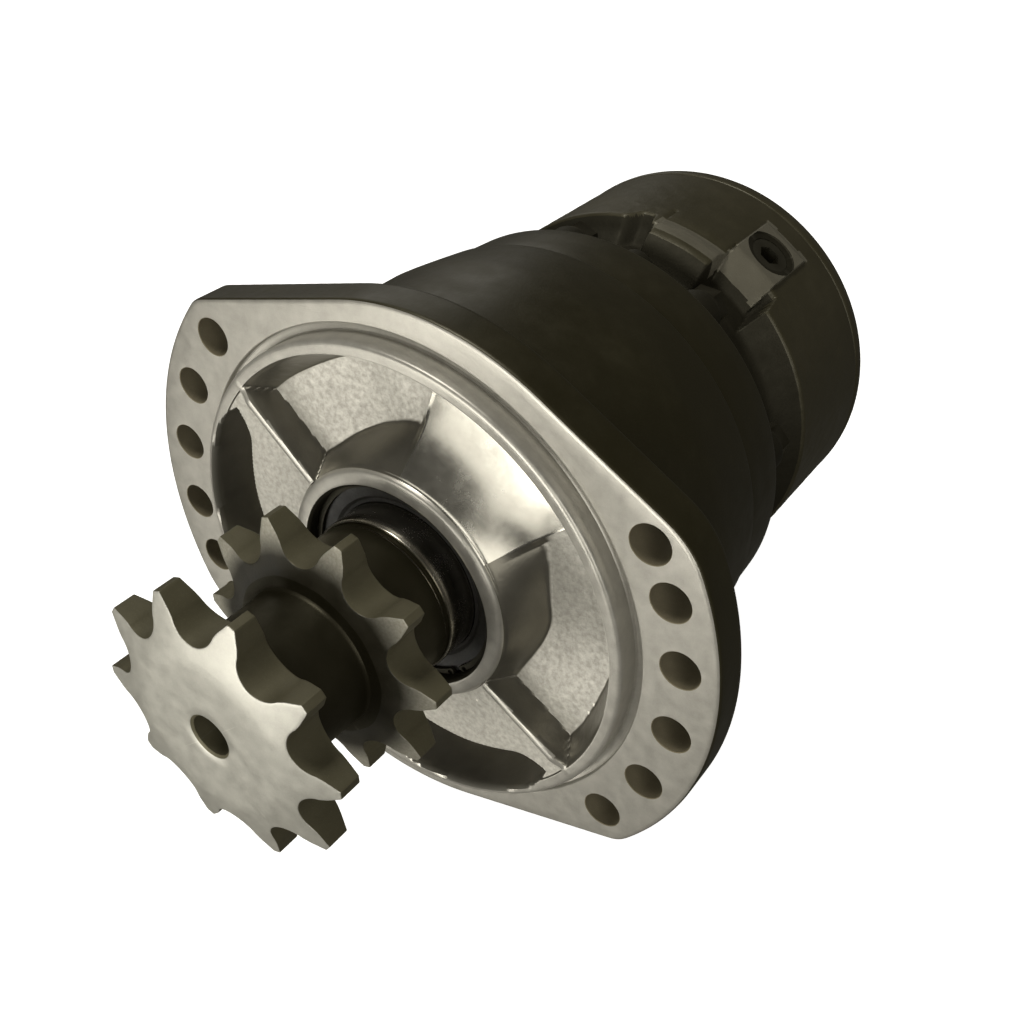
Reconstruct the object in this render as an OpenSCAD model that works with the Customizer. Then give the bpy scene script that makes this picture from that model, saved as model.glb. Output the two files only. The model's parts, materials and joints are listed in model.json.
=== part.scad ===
// Cam-lobe radial-piston hydraulic drive motor with a double-row chain sprocket on its shaft.
// The shaft axis is Y, the sprocket is at -Y, Z is up and the two mounting lobes point along X.
// The origin lies on the shaft axis in the mounting face of the flange.

/* [Mounting flange] */
// Radius of the two mounting lobes
flange_r = 145.5; // [144:0.5:148]
// Thickness of the mounting flange
flange_t = 17.7; // [16:0.1:19]
// Bolt circle diameter of the mounting holes
bolt_pcd = 258; // [257:0.5:259]
// Radius of the mounting holes
bolt_r = 8.5; // [7:0.25:9]
// Outer radius of the pilot spigot
pilot_r = 108.8; // [108:0.1:109.5]
// Height of the pilot spigot in front of the mounting face
pilot_h = 8.2; // [6:0.1:9]
// Distance of the two steeper straight edges from the axis
edge_a = 122.3; // [121:0.1:124]
// Distance of the two flatter straight edges from the axis
edge_b = 125; // [124:0.1:126]

/* [Housing] */
// Outer radius of the barrel behind the flange
barrel_r = 110; // [109:0.5:110.5]
// Outer radius of the barrel at its rear joint
barrel_end_r = 106.5; // [106:0.1:107]
// Rear face of the front housing
housing_end = 108.6; // [108:0.1:109]
// Radius of the seal bore in the hub
seal_bore_r = 46.9; // [46:0.1:47.5]
// Outer radius of the hub rim
hub_r = 54.6; // [54:0.1:56]
// Depth of the cast pocket floor behind the mounting face
pocket_y = 10; // [8:0.5:11]

/* [Sprocket] */
// Number of teeth in each row
teeth = 10; // [10:1:10]
// Pitch of the drive chain
chain_pitch = 31.75; // [31:0.05:32.5]
// Radius of a roller seat
seat_r = 10.4; // [10.2:0.1:10.6]
// Outer radius over the teeth
tip_r = 58.5; // [57.5:0.1:59.5]
// Width of one row of teeth
row_w = 19.7; // [18:0.1:20]
// Distance between the front faces of the two rows
row_gap = 52.6; // [50:0.1:53]
// Distance of the sprocket's front face from the mounting face
shaft_front = 113.8; // [112:0.1:115]

/* [Drive] */
// Number of radial pistons
pistons = 8; // [8:1:8]
// Number of lobes on the cam ring
lobes = 6; // [6:1:6]
// Mean radius of the cam track
cam_mean = 77; // [76.8:0.1:77.2]
// Height of a cam lobe on each side of the mean radius
cam_amp = 4; // [3.8:0.1:4]
// Radius of a piston
piston_r = 11.95; // [11.9:0.01:11.97]
// Radius of a cam roller
roller_r = 8; // [7.9:0.1:8]

/* [Rear end] */
// Outer radius of the rear drum
drum_r = 96.5; // [95:0.5:97]
// Rear face of the whole motor
motor_end = 261; // [258:0.5:262]
// Radius of the neck in front of the drum
neck_r = 83; // [82:0.5:84]

/* [Hidden] */
$fn = 96;

// Angles are measured from +X towards +Z.
// Mirror line of the casting in front
sym_a = 55;
// Hole angles of one lobe, the other lobe is half a turn away
hole_angles = [32.8, 22.2, 8.9, -6.1, -21.3, -36.5];
// Directions of the straight flange edges
dir_a = 108.4;
dir_b = 62.7;
// Radius at the bottom of the tooth gaps
root_r = chain_pitch / (2 * sin(180 / teeth)) - 9.5;
// Direction of the first tooth
tooth_a = 112.6;
// Middle plane of the pistons
piston_y = 122;
// Radius of the roller centres with the pistons pushed all the way in
roller_in = 62.4;
// Direction of the first piston
piston_a = 7.5;
// Case bolts
case_bolt_n = 8;
case_bolt_pr = 90;
case_bolt_a = 59;
// Ports in the drum
port_angles = [59, 239];
port_y = 215;
// Rear cover screws
cover_screw_n = 8;
cover_screw_pr = 83.5;
cover_y = 248;
// Tapered bearings: raceway and roller angles, apex distance and roller size
brg_cup = 13.1;
brg_mid = 11.5;
brg_cone = 9.9;
brg_l = 245.8;
brg_half = 9;
brg_n = 18;
brg_front_y = 29;
brg_rear_y = 79;

function arc(c, r, a0, a1, n) = [for (i = [0:n]) let (a = a0 + (a1 - a0) * i / n) [c[0] + r * cos(a), c[1] + r * sin(a)]];
function turned(pts, a) = [for (p = pts) [p[0] * cos(a) - p[1] * sin(a), p[0] * sin(a) + p[1] * cos(a)]];
// Centre of a round of radius f between the lobe circle and the edge with normal a at distance d, on side s
function corner(d, a, f, s) = let (t = sqrt(pow(flange_r - f, 2) - pow(d - f, 2))) [(d - f) * cos(a) + s * t * sin(a), (d - f) * sin(a) - s * t * cos(a)];
function angle_of(c) = atan2(c[1], c[0]);
// Centre of the round of radius f between the two upper edges
function crown(f) = let (p = edge_b - f, q = edge_a - f, d = sin(dir_a - dir_b)) [(p * sin(dir_a) - q * sin(dir_b)) / d, (q * cos(dir_b) - p * cos(dir_a)) / d];
function half_outline() = let (c1 = corner(edge_b, dir_b, 40, 1), c2 = corner(edge_a, dir_a, 15, -1), a2 = angle_of(c2), a3 = angle_of(c1) + 180)
    concat(arc(c1, 40, angle_of(c1), dir_b, 10), arc(crown(118), 118, dir_b, dir_a, 14), arc(c2, 15, dir_a, a2, 6),
        [for (i = [1:19]) let (a = a2 + (a3 - a2) * i / 20) [flange_r * cos(a), flange_r * sin(a)]]);
// Straight-sided spline with n teeth
function spline(n, r0, r1, k) = [for (i = [0:n - 1], j = [0:3]) let (s = 360 / n, a = i * s + s * [-0.25 - k, -0.16, 0.16, 0.25 + k][j], r = j == 0 || j == 3 ? r0 : r1) [r * cos(a), r * sin(a)]];
function cam_r(a) = cam_mean + cam_amp * cos(lobes * a);

module ycyl(y0, y1, r) translate([0, y0, 0]) rotate([-90, 0, 0]) cylinder(h = y1 - y0, r = r);
module ycone(y0, y1, r0, r1) translate([0, y0, 0]) rotate([-90, 0, 0]) cylinder(h = y1 - y0, r1 = r0, r2 = r1);
module yring(y0, y1, ro, ri) difference() { ycyl(y0, y1, ro); ycyl(y0 - 1, y1 + 1, ri); }
// Body of revolution about the shaft axis from [radius, y] points
module yrev(pts) rotate([-90, 0, 0]) rotate_extrude() polygon(pts);
// The same over a sector from angle a0 to a1
module ysector(pts, a0, a1) rotate([90, 0, 0]) rotate([0, 0, a0]) rotate_extrude(angle = a1 - a0) polygon([for (p = pts) [p[0], -p[1]]]);
// Prism along the shaft axis from an outline in X and Z
module yprism(y0, y1) rotate([90, 0, 0]) translate([0, 0, -y1]) linear_extrude(height = y1 - y0) children();
// Turns +X to angle a and moves out to radius r
module polar(a, r = 0) rotate([0, -a, 0]) translate([r, 0, 0]) children();
module hexhead(h, af) cylinder(h = h, r = af / sqrt(3), $fn = 6);

// ---- front housing: flange, pilot, hub, ribs and barrel in one casting ----
module slot(s) {
    // curved slot beside a web, s = 1 or -1 picks the side of the mirror line
    n = 12;
    pts = concat([for (i = [0:n]) let (a = 97 + 47 * i / n) (106 - 3 * pow((i - n / 2) / (n / 2), 4)) * [cos(sym_a + s * a), sin(sym_a + s * a)]],
        [for (i = [n:-1:0]) let (a = 99 + 43 * i / n) (91 - 19 * i / n + 6 * pow((i - n / 2) / (n / 2), 6)) * [cos(sym_a + s * a), sin(sym_a + s * a)]]);
    yprism(-12, 20) polygon(pts);
}
module front_housing() color([0.62, 0.60, 0.54]) difference() {
    union() {
        yprism(0, flange_t) polygon(concat(half_outline(), turned(half_outline(), 180)));
        difference() {
            yrev([[0, -pilot_h], [pilot_r - 1.5, -pilot_h], [pilot_r, 1.5 - pilot_h], [pilot_r, 3], [0, 3]]);
            ycyl(-pilot_h - 1, -7, 103.3);
        }
        yrev([[0, 5], [hub_r + 14, 5], [hub_r, -10.3], [0, -10.3]]);
        ycyl(flange_t - 1, 75, barrel_r);
        yrev([[0, 74], [barrel_r, 75], [barrel_end_r, housing_end - 1.5], [barrel_end_r - 1.5, housing_end], [0, housing_end]]);
        // port boss of the case drain, flush with the barrel
        polar(250, 0) translate([0, 60, 0]) rotate([0, 90, 0]) cylinder(h = barrel_r + 1.5, r = 14);
    }
    // relief groove at the foot of the pilot
    yring(-0.5, 3, 113, pilot_r);
    // open pocket with its deeper middle, closed at the bottom by the two ribs
    ysector([[hub_r + 3.3, -6], [hub_r + 1.2, -12], [103.6, -12], [103.6, -7], [98, pocket_y], [hub_r + 16, pocket_y]], sym_a - 84.2, sym_a + 84.2);
    ysector([[hub_r + 18, 5], [95, 5], [93, 14], [hub_r + 20, 14]], sym_a - 19, sym_a + 33);
    // two slots beside the webs and the deep pocket between them, behind the sprocket
    slot(1);
    slot(-1);
    ysector([[66, -6], [64, -12], [100, -12], [98, 20], [72, 20]], sym_a + 153, sym_a + 207);
    // seal bore, bearing bores and the room for the cylinder block
    ycone(-11, -9.2, 48.7, seal_bore_r);
    ycyl(-9.5, 9, seal_bore_r);
    ycyl(8.5, 17, 50);
    ycyl(16, 67, 62);
    ycyl(66, 101, 64);
    ycyl(100.5, housing_end + 1, 69);
    // groove of the seal's retaining ring
    ycyl(-4.6, -2.8, seal_bore_r + 1.2);
    // mounting holes
    for (a = hole_angles, h = [0, 180]) polar(a + h, bolt_pcd / 2) ycyl(-1, flange_t + 1, bolt_r);
    // threaded holes of the case bolts and dowel holes
    for (i = [0:case_bolt_n - 1]) polar(case_bolt_a + i * 360 / case_bolt_n, case_bolt_pr) ycyl(76, housing_end + 1, 6.1);
    for (a = [81.5, 261.5]) polar(a, case_bolt_pr) ycyl(98, housing_end + 1, 4);
    // groove of the face seal
    yring(housing_end - 2, housing_end + 1, 83.3, 81.2);
    // case drain port
    polar(250, 0) translate([0, 60, 0]) rotate([0, 90, 0]) translate([0, 0, 60]) cylinder(h = 60, r = 5);
    polar(250, 0) translate([0, 60, 0]) rotate([0, 90, 0]) translate([0, 0, 96]) cylinder(h = 30, r = 9.1);
}

// ---- shaft with its two rows of teeth ----
module sprocket_outline() difference() {
    circle(r = tip_r);
    for (i = [0:teeth - 1]) rotate(tooth_a - 18 - i * 360 / teeth) {
        translate([root_r + seat_r, 0]) circle(r = seat_r);
        polygon([[root_r + 6.8, -9.75], [root_r + 9.4, -11.6], [root_r + 14.3, -16.4], [root_r + 19.1, -21.2], [root_r + 19.1, 21.2], [root_r + 14.3, 16.4], [root_r + 9.4, 11.6], [root_r + 6.8, 9.75]]);
    }
}
module row(y0) intersection() {
    yprism(y0 - 1, y0 + row_w + 1) sprocket_outline();
    yrev([[0, y0], [35.6, y0], [tip_r + 0.2, y0 + 5], [tip_r + 0.2, y0 + row_w - 5], [35.6, y0 + row_w], [0, y0 + row_w]]);
}
module output_shaft() color([0.58, 0.56, 0.50]) difference() {
    union() {
        row(-shaft_front);
        row(row_gap - shaft_front);
        ycyl(row_w - shaft_front - 1, row_gap - shaft_front + 1, 30.5);
        yrev([[0, row_gap + row_w - shaft_front - 1], [35, row_gap + row_w - shaft_front - 1], [35, -19.4], [34.4, -18.8], [34.4, -17.4], [35.4, -17.4], [36, -16.8], [36, 9.5], [38.5, 9.5], [40, 11], [40, 15], [39, 16], [38, 16],
            [38, 54], [36, 54], [36, 92], [34, 92], [34, 104], [0, 104]]);
        yprism(103, 122.5) polygon(spline(18, 27, 30, 0));
    }
    // centre hole with its countersink
    ycyl(-shaft_front - 1, -shaft_front + 24, 8.8);
    ycone(-shaft_front - 0.1, -shaft_front + 0.9, 9.8, 8.8);
    // keyway of the lock washer
    translate([-3, 88, 31]) cube([6, 16, 8]);
}

// ---- seal and bearings ----
module shaft_seal() color([0.15, 0.14, 0.12]) yrev([[46.85, -2.6], [46.85, 7.4], [45.4, 7.4], [45.4, 0.5], [39.6, 0.5], [37.6, 5.5], [36.4, 6.6], [36.05, 5.4], [36.6, 3.4], [36.9, 0.4], [36.1, -1.2], [36.3, -2.1], [37.6, -1.6], [39, -2.6]]);
module seal_retaining_ring() color([0.5, 0.5, 0.48]) difference() {
    yring(-4.5, -2.9, 47.9, 44.4);
    // gap and the two plier holes
    polar(-50, 47) translate([-6, -6, -2.5]) cube([12, 6, 5]);
    for (d = [-1, 1]) polar(-50 + d * 6, 46) ycyl(-6, -1, 1.1);
}
module brg_place(rear) if (rear) translate([0, brg_rear_y, 0]) mirror([0, 1, 0]) children(); else translate([0, brg_front_y, 0]) children();
// Raceway radius at distance y from the bearing's middle
function race(y, a) = (brg_l * cos(brg_mid) + y) * tan(a);
module cup(ro) yrev([[race(-13, brg_cup), -13], [ro, -13], [ro, 11], [race(11, brg_cup), 11]]);
module cone_ring(ri) yrev([[ri, -13], [race(-13, brg_cone) + 2.6, -13], [race(-9.6, brg_cone) + 2.6, -9.8], [race(-9.6, brg_cone), -9.8],
    [race(10.4, brg_cone), 10.4], [race(10.4, brg_cone) + 4.4, 9.6], [race(14, brg_cone) + 4, 14], [ri, 14]]);
module brg_rollers() for (i = [0:brg_n - 1]) polar(i * 360 / brg_n) rotate([-90, 0, 0]) translate([0, 0, -brg_l * cos(brg_mid)]) rotate([0, brg_mid, 0])
    translate([0, 0, brg_l - brg_half]) cylinder(h = 2 * brg_half, r1 = (brg_l - brg_half) * sin(brg_cup - brg_mid) - 0.08, r2 = (brg_l + brg_half) * sin(brg_cup - brg_mid) - 0.08);
module brg_cage() difference() {
    yrev([[race(-11.6, brg_mid) + 0.8, -11.6], [race(-11.6, brg_mid) + 2.8, -11.6], [race(12, brg_mid) + 2.8, 12], [race(12, brg_mid) + 0.8, 12]]);
    for (i = [0:brg_n - 1]) polar(i * 360 / brg_n, 50) rotate([0, 0, -brg_mid]) translate([-7, -9.5, -7.1]) cube([16, 19, 14.2]);
}
module front_bearing_cup() color([0.66, 0.66, 0.65]) brg_place(false) cup(61.98);
module rear_bearing_cup() color([0.66, 0.66, 0.65]) brg_place(true) cup(63.98);
module front_bearing_cone() color([0.66, 0.66, 0.65]) brg_place(false) cone_ring(38.02);
module rear_bearing_cone() color([0.66, 0.66, 0.65]) brg_place(true) cone_ring(36.02);
module front_bearing_rollers() color([0.72, 0.72, 0.71]) brg_place(false) brg_rollers();
module rear_bearing_rollers() color([0.72, 0.72, 0.71]) brg_place(true) brg_rollers();
module front_bearing_cage() color([0.45, 0.42, 0.36]) brg_place(false) brg_cage();
module rear_bearing_cage() color([0.45, 0.42, 0.36]) brg_place(true) brg_cage();
module bearing_spacer() color([0.5, 0.5, 0.48]) yring(43.05, 64.95, 43, 38.05);
module bearing_lock_washer() color([0.5, 0.5, 0.48]) {
    yring(92.05, 93.6, 44, 34.05);
    translate([-2.8, 92.05, 31.5]) cube([5.6, 1.55, 5]);
}
module bearing_nut() color([0.4, 0.4, 0.38]) difference() {
    yring(93.7, 102.5, 46, 34.05);
    for (a = [0:60:300]) polar(a, 43.5) translate([0, 92, -3.5]) cube([6, 12, 7]);
}
module bearing_cup_retainer() color([0.4, 0.4, 0.38]) difference() {
    yring(92.1, 99.5, 63.9, 55);
    for (a = [0:90:270]) polar(a, 59.5) ycyl(95, 101, 2.5);
}

// ---- cylinder block, pistons and cam ring ----
module cylinder_block() color([0.5, 0.5, 0.47]) difference() {
    yrev([[0, 105], [60, 105], [63, 107], [63, 137], [61, 139], [0, 139]]);
    yprism(104, 123) polygon(spline(18, 27.2, 30.2, 0.02));
    yprism(122, 140) polygon(spline(14, 19.7, 22.2, 0.02));
    for (i = [0:pistons - 1]) polar(piston_a + i * 360 / pistons) {
        translate([37.4, piston_y, 0]) rotate([0, 90, 0]) cylinder(h = 40, r = 12);
        translate([48, 128, 0]) rotate([-90, 0, 0]) cylinder(h = 12, r = 4);
    }
}
module piston(i) color([0.7, 0.7, 0.68]) polar(piston_a + (i - 1) * 360 / pistons) difference() {
    translate([39, piston_y, 0]) rotate([0, 90, 0]) cylinder(h = roller_in + 1.2 - 39, r = piston_r);
    translate([roller_in, piston_y - 14, 0]) rotate([-90, 0, 0]) cylinder(h = 28, r = roller_r + 0.06);
    translate([38, piston_y, 0]) rotate([0, 90, 0]) cylinder(h = 9, r = 5);
}
module cam_roller(i) color([0.72, 0.72, 0.71]) polar(piston_a + (i - 1) * 360 / pistons, roller_in) ycyl(piston_y - 8, piston_y + 8, roller_r);
module piston_1() piston(1);
module piston_2() piston(2);
module piston_3() piston(3);
module piston_4() piston(4);
module piston_5() piston(5);
module piston_6() piston(6);
module piston_7() piston(7);
module piston_8() piston(8);
module cam_roller_1() cam_roller(1);
module cam_roller_2() cam_roller(2);
module cam_roller_3() cam_roller(3);
module cam_roller_4() cam_roller(4);
module cam_roller_5() cam_roller(5);
module cam_roller_6() cam_roller(6);
module cam_roller_7() cam_roller(7);
module cam_roller_8() cam_roller(8);
module cam_ring() color([0.16, 0.15, 0.11]) difference() {
    yrev([[0, housing_end], [104, housing_end], [105, housing_end + 1], [103.5, 137.2], [101.5, 139], [0, 139]]);
    yprism(housing_end - 1, 140) polygon([for (i = [0:143]) let (a = i * 2.5) cam_r(a) * [cos(a), sin(a)]]);
    for (i = [0:case_bolt_n - 1]) polar(case_bolt_a + i * 360 / case_bolt_n, case_bolt_pr) ycyl(housing_end - 1, 140, 6.4);
    for (a = [81.5, 261.5]) polar(a, case_bolt_pr) ycyl(housing_end - 1, 140, 4);
}
module case_seals() color([0.1, 0.1, 0.1]) {
    yring(housing_end - 1.95, housing_end - 0.02, 83.2, 81.3);
    yring(139.02, 140.95, 83.2, 81.3);
    yring(cover_y - 2.9, cover_y - 0.4, 74.4, 71.6);
}
module dowel_pins() color([0.7, 0.7, 0.68]) for (a = [81.5, 261.5]) polar(a, case_bolt_pr) { ycyl(99, 146, 3.98); }
module case_bolts() color([0.2, 0.2, 0.18]) for (i = [0:case_bolt_n - 1]) polar(case_bolt_a + i * 360 / case_bolt_n, case_bolt_pr) {
    ycyl(80, 151.5, 6);
    ycyl(149.5, 151.5, 10.4);
    translate([0, 151.5, 0]) rotate([-90, 0, 0]) hexhead(7.5, 18);
}

// ---- distributor ----
module distributor() color([0.6, 0.6, 0.57]) difference() {
    yrev([[24, 139.3], [60, 139.3], [60, 150], [54, 150], [54, 161], [48, 161], [48, 172], [24, 172]]);
    yring(144.5, 148.4, 61, 57);
    yring(155, 158.6, 55, 51);
    yring(140.4, 143.2, 61, 57.4);
    yring(151.2, 154, 55, 51.4);
    yring(162.5, 165.3, 49, 45.4);
    for (i = [0:5]) {
        polar(i * 60, 47) ycyl(138, 148, 3.2);
        polar(i * 60 + 30, 44) ycyl(138, 158.2, 3.2);
        polar(i * 60) translate([47, 146.2, 0]) rotate([0, 90, 0]) cylinder(h = 20, r = 1.2);
        polar(i * 60 + 30) translate([44, 156.6, 0]) rotate([0, 90, 0]) cylinder(h = 20, r = 1.2);
    }
}
module distributor_seals() color([0.1, 0.1, 0.1]) {
    yring(140.5, 143.1, 60.05, 57.45);
    yring(151.3, 153.9, 54.05, 51.45);
    yring(162.6, 165.2, 48.05, 45.45);
}
module distributor_spring() color([0.5, 0.5, 0.48]) yrev([[30, 172.2], [31, 172.2], [45, 173.4], [45, 174.4], [44, 174.4], [30, 173.2]]);

// ---- rear housing with its neck, drum, gallery and port bosses ----
module rear_housing() color([0.16, 0.15, 0.11]) difference() {
    union() {
        yrev([[0, 139], [85.6, 139], [85.6, 146], [neck_r, 150], [neck_r, 172], [90, 180], [94, 181.5], [drum_r, 185], [drum_r, cover_y], [0, cover_y]]);
        for (i = [0:case_bolt_n - 1]) polar(case_bolt_a + i * 360 / case_bolt_n, case_bolt_pr) ycyl(139, 149.5, 11.5);
        for (a = [81.5, 261.5]) polar(a, case_bolt_pr) ycyl(139, 147.5, 9);
        for (p = port_angles) {
            // gallery that leads from the distributor to the port boss
            ysector([[80, 168], [88, 170], [94, 176], [drum_r, 182], [drum_r, 200], [80, 200]], p - 20, p + 36);
            polar(p) translate([0, 0, -14]) linear_extrude(height = 28) polygon([[80, 172], [88, 176], [94, 186], [97.6, 199], [97.6, 231], [80, 231]]);
        }
    }
    // stepped bore of the distributor
    ycyl(138, 150.2, 60.1);
    ycyl(150, 161.2, 54.1);
    ycyl(161, 174.5, 48.1);
    ycyl(174, 185, 26);
    // brake chamber with the slots of the steel discs
    ycyl(184, 222, 72);
    for (i = [0:5]) polar(i * 60 + 30) translate([70, 184, -6]) cube([5, 26, 12]);
    ycyl(222, cover_y + 1, 74.5);
    // supply grooves of the distributor and the passages to the ports
    yring(144.5, 148, 63, 60);
    yring(155, 158.5, 57, 54);
    polar(port_angles[0], 77) ycyl(146.5, 216, 4);
    polar(port_angles[0]) translate([58, 148, 0]) rotate([0, 90, 0]) cylinder(h = 19, r = 3.2);
    polar(port_angles[1], 77) ycyl(156, 216, 4);
    polar(port_angles[1]) translate([55, 157.5, 0]) rotate([0, 90, 0]) cylinder(h = 22, r = 3.2);
    for (p = port_angles) polar(p) translate([77, port_y, 0]) rotate([0, 90, 0]) {
        cylinder(h = 30, r = 5);
        translate([0, 0, 6]) cylinder(h = 30, r = 10.1);
        translate([0, 0, 19.6]) cylinder(h = 30, r = 13);
    }
    for (i = [0:case_bolt_n - 1]) polar(case_bolt_a + i * 360 / case_bolt_n, case_bolt_pr) ycyl(138, 150, 6.4);
    for (a = [81.5, 261.5]) polar(a, case_bolt_pr) ycyl(138, 146.5, 4);
    for (i = [0:cover_screw_n - 1]) polar(i * 360 / cover_screw_n + 22.5, cover_screw_pr) ycyl(226, cover_y + 1, 4.1);
    yring(138.5, 141, 83.3, 81.2);
    // spot faces of the case bolts
    for (i = [0:case_bolt_n - 1]) polar(case_bolt_a + i * 360 / case_bolt_n, case_bolt_pr) ycyl(149.5, 162, 11);
}
module rear_cover() color([0.16, 0.15, 0.11]) difference() {
    yrev([[0, cover_y - 3], [71.5, cover_y - 3], [71.5, cover_y - 0.3], [74.4, cover_y - 0.3], [74.4, cover_y + 0.02], [drum_r - 0.8, cover_y + 0.02], [drum_r, cover_y + 0.8],
        [drum_r, 252], [95.6, 256], [94.3, 259], [91.9, motor_end], [66, motor_end], [62, motor_end - 2.5], [0, motor_end - 2.5]]);
    ycyl(cover_y - 4, cover_y + 3, 36);
    for (i = [0:cover_screw_n - 1]) polar(i * 360 / cover_screw_n + 22.5, cover_screw_pr) {
        ycyl(cover_y - 1, motor_end + 1, 4.4);
        ycyl(motor_end - 8.6, motor_end + 1, 6.9);
    }
    // brake release port
    polar(90, 50) ycyl(cover_y - 4, motor_end, 3);
    polar(90, 50) ycyl(cover_y + 1, motor_end, 7.1);
}
module cover_screws() color([0.2, 0.2, 0.18]) for (i = [0:cover_screw_n - 1]) polar(i * 360 / cover_screw_n + 22.5, cover_screw_pr) difference() {
    union() {
        ycyl(228, motor_end - 8.5, 4);
        ycyl(motor_end - 8.6, motor_end - 0.6, 6.5);
    }
    translate([0, motor_end - 5, 0]) rotate([-90, 0, 0]) hexhead(6, 6);
}
module plug(r, h, af) difference() {
    cylinder(h = h, r = r);
    translate([0, 0, h - min(7, h - 3)]) hexhead(8, af);
}
module port_plugs() color([0.22, 0.21, 0.17]) for (p = port_angles) polar(p) translate([83.5, port_y, 0]) rotate([0, 90, 0]) plug(10, 12.4, 10);
module case_drain_plug() color([0.22, 0.21, 0.17]) polar(250) translate([97, 60, 0]) rotate([0, 90, 0]) plug(9, 13.4, 8);
module brake_port_plug() color([0.22, 0.21, 0.17]) polar(90, 50) translate([0, cover_y + 1.2, 0]) rotate([-90, 0, 0]) plug(7, 9, 6);

// ---- parking brake ----
module brake_shaft() color([0.6, 0.6, 0.57]) union() {
    yprism(124, 138) polygon(spline(14, 19.5, 22, 0));
    ycyl(123.2, 189, 19);
    yprism(187.4, 211) polygon(spline(24, 27.5, 30, 0));
}
module brake_friction_discs() color([0.35, 0.30, 0.22]) for (i = [0:2]) difference() {
    ycyl(191.8 + i * 6.1, 194.3 + i * 6.1, 64);
    yprism(190 + i * 6.1, 196 + i * 6.1) polygon(spline(24, 27.7, 30.2, 0.02));
}
module brake_steel_discs() color([0.55, 0.55, 0.53]) for (i = [0:3]) difference() {
    union() {
        ycyl(188.5 + i * 6.1, 191.5 + i * 6.1, 71.8);
        for (a = [30:60:330]) polar(a) translate([68, 188.5 + i * 6.1, -5.8]) cube([6.6, 3, 11.6]);
    }
    ycyl(188 + i * 6.1, 192 + i * 6.1, 34);
}
module brake_piston() color([0.6, 0.6, 0.57]) difference() {
    yrev([[36, 210.1], [71.92, 210.1], [71.92, 222.8], [74.42, 222.8], [74.42, 233], [36, 233]]);
    yring(214, 217, 73, 69.4);
    yring(227, 230, 75, 71.9);
    yring(224, 234, 60, 42);
}
module brake_piston_seals() color([0.1, 0.1, 0.1]) {
    yring(214.05, 216.95, 71.92, 69.45);
    yring(227.05, 229.95, 74.42, 71.95);
}
module brake_disc_spring() color([0.4, 0.4, 0.38]) yrev([[40, 244.6], [40, 241.6], [70, 233.6], [71, 233.4], [71, 236.4]]);

front_housing();
output_shaft();
shaft_seal();
seal_retaining_ring();
front_bearing_cup();
front_bearing_cone();
front_bearing_rollers();
front_bearing_cage();
rear_bearing_cup();
rear_bearing_cone();
rear_bearing_rollers();
rear_bearing_cage();
bearing_spacer();
bearing_lock_washer();
bearing_nut();
bearing_cup_retainer();
cylinder_block();
cam_ring();
piston_1();
piston_2();
piston_3();
piston_4();
piston_5();
piston_6();
piston_7();
piston_8();
cam_roller_1();
cam_roller_2();
cam_roller_3();
cam_roller_4();
cam_roller_5();
cam_roller_6();
cam_roller_7();
cam_roller_8();
case_seals();
dowel_pins();
case_bolts();
distributor();
distributor_seals();
distributor_spring();
rear_housing();
rear_cover();
cover_screws();
port_plugs();
case_drain_plug();
brake_port_plug();
brake_shaft();
brake_friction_discs();
brake_steel_discs();
brake_piston();
brake_piston_seals();
brake_disc_spring();
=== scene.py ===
"""Looks of the hydraulic drive motor: meshes, finishes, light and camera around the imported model."""
import json
import math

import bpy
import numpy as np
from mathutils import Matrix, Vector


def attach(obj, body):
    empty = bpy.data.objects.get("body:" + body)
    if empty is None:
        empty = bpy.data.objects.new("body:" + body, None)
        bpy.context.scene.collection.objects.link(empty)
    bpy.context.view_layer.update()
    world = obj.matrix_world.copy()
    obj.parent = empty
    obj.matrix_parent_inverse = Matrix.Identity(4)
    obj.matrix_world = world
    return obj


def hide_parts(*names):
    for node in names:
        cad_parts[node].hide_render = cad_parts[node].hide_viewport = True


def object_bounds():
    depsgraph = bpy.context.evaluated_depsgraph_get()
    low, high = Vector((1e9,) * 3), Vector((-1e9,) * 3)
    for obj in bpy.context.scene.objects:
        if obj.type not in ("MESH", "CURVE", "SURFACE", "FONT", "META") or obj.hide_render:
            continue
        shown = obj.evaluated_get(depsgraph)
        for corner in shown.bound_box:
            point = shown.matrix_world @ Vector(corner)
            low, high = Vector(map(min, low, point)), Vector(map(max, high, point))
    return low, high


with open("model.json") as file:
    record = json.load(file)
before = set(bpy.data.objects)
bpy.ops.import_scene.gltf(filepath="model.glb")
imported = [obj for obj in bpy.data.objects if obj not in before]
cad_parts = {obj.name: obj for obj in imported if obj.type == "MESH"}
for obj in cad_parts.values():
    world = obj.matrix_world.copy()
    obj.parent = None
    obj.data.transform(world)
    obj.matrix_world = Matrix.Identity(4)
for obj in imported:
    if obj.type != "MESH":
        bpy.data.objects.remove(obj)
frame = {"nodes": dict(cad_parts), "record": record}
SIZE_CAD = [list(v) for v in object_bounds()]
scene = bpy.context.scene
MM = 0.001


# ------------------------------------------------------------------ small helpers
def smooth(x, a, b):
    """0 below a, 1 above b, with an even turn between."""
    t = np.clip((np.asarray(x, float) - a) / (b - a), 0.0, 1.0)
    return t * t * (3 - 2 * t)


def wrap(a):
    """Angle in degrees brought to -180..180."""
    return (np.asarray(a, float) + 180.0) % 360.0 - 180.0


def hash3(ix, iy, iz, seed):
    h = (ix * 374761393 + iy * 668265263 + iz * 2147483647 + seed * 1274126177) & 0xFFFFFFFF
    h = ((h ^ (h >> 13)) * 1274126177) & 0xFFFFFFFF
    return ((h ^ (h >> 16)) & 0xFFFF) / 65535.0


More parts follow.
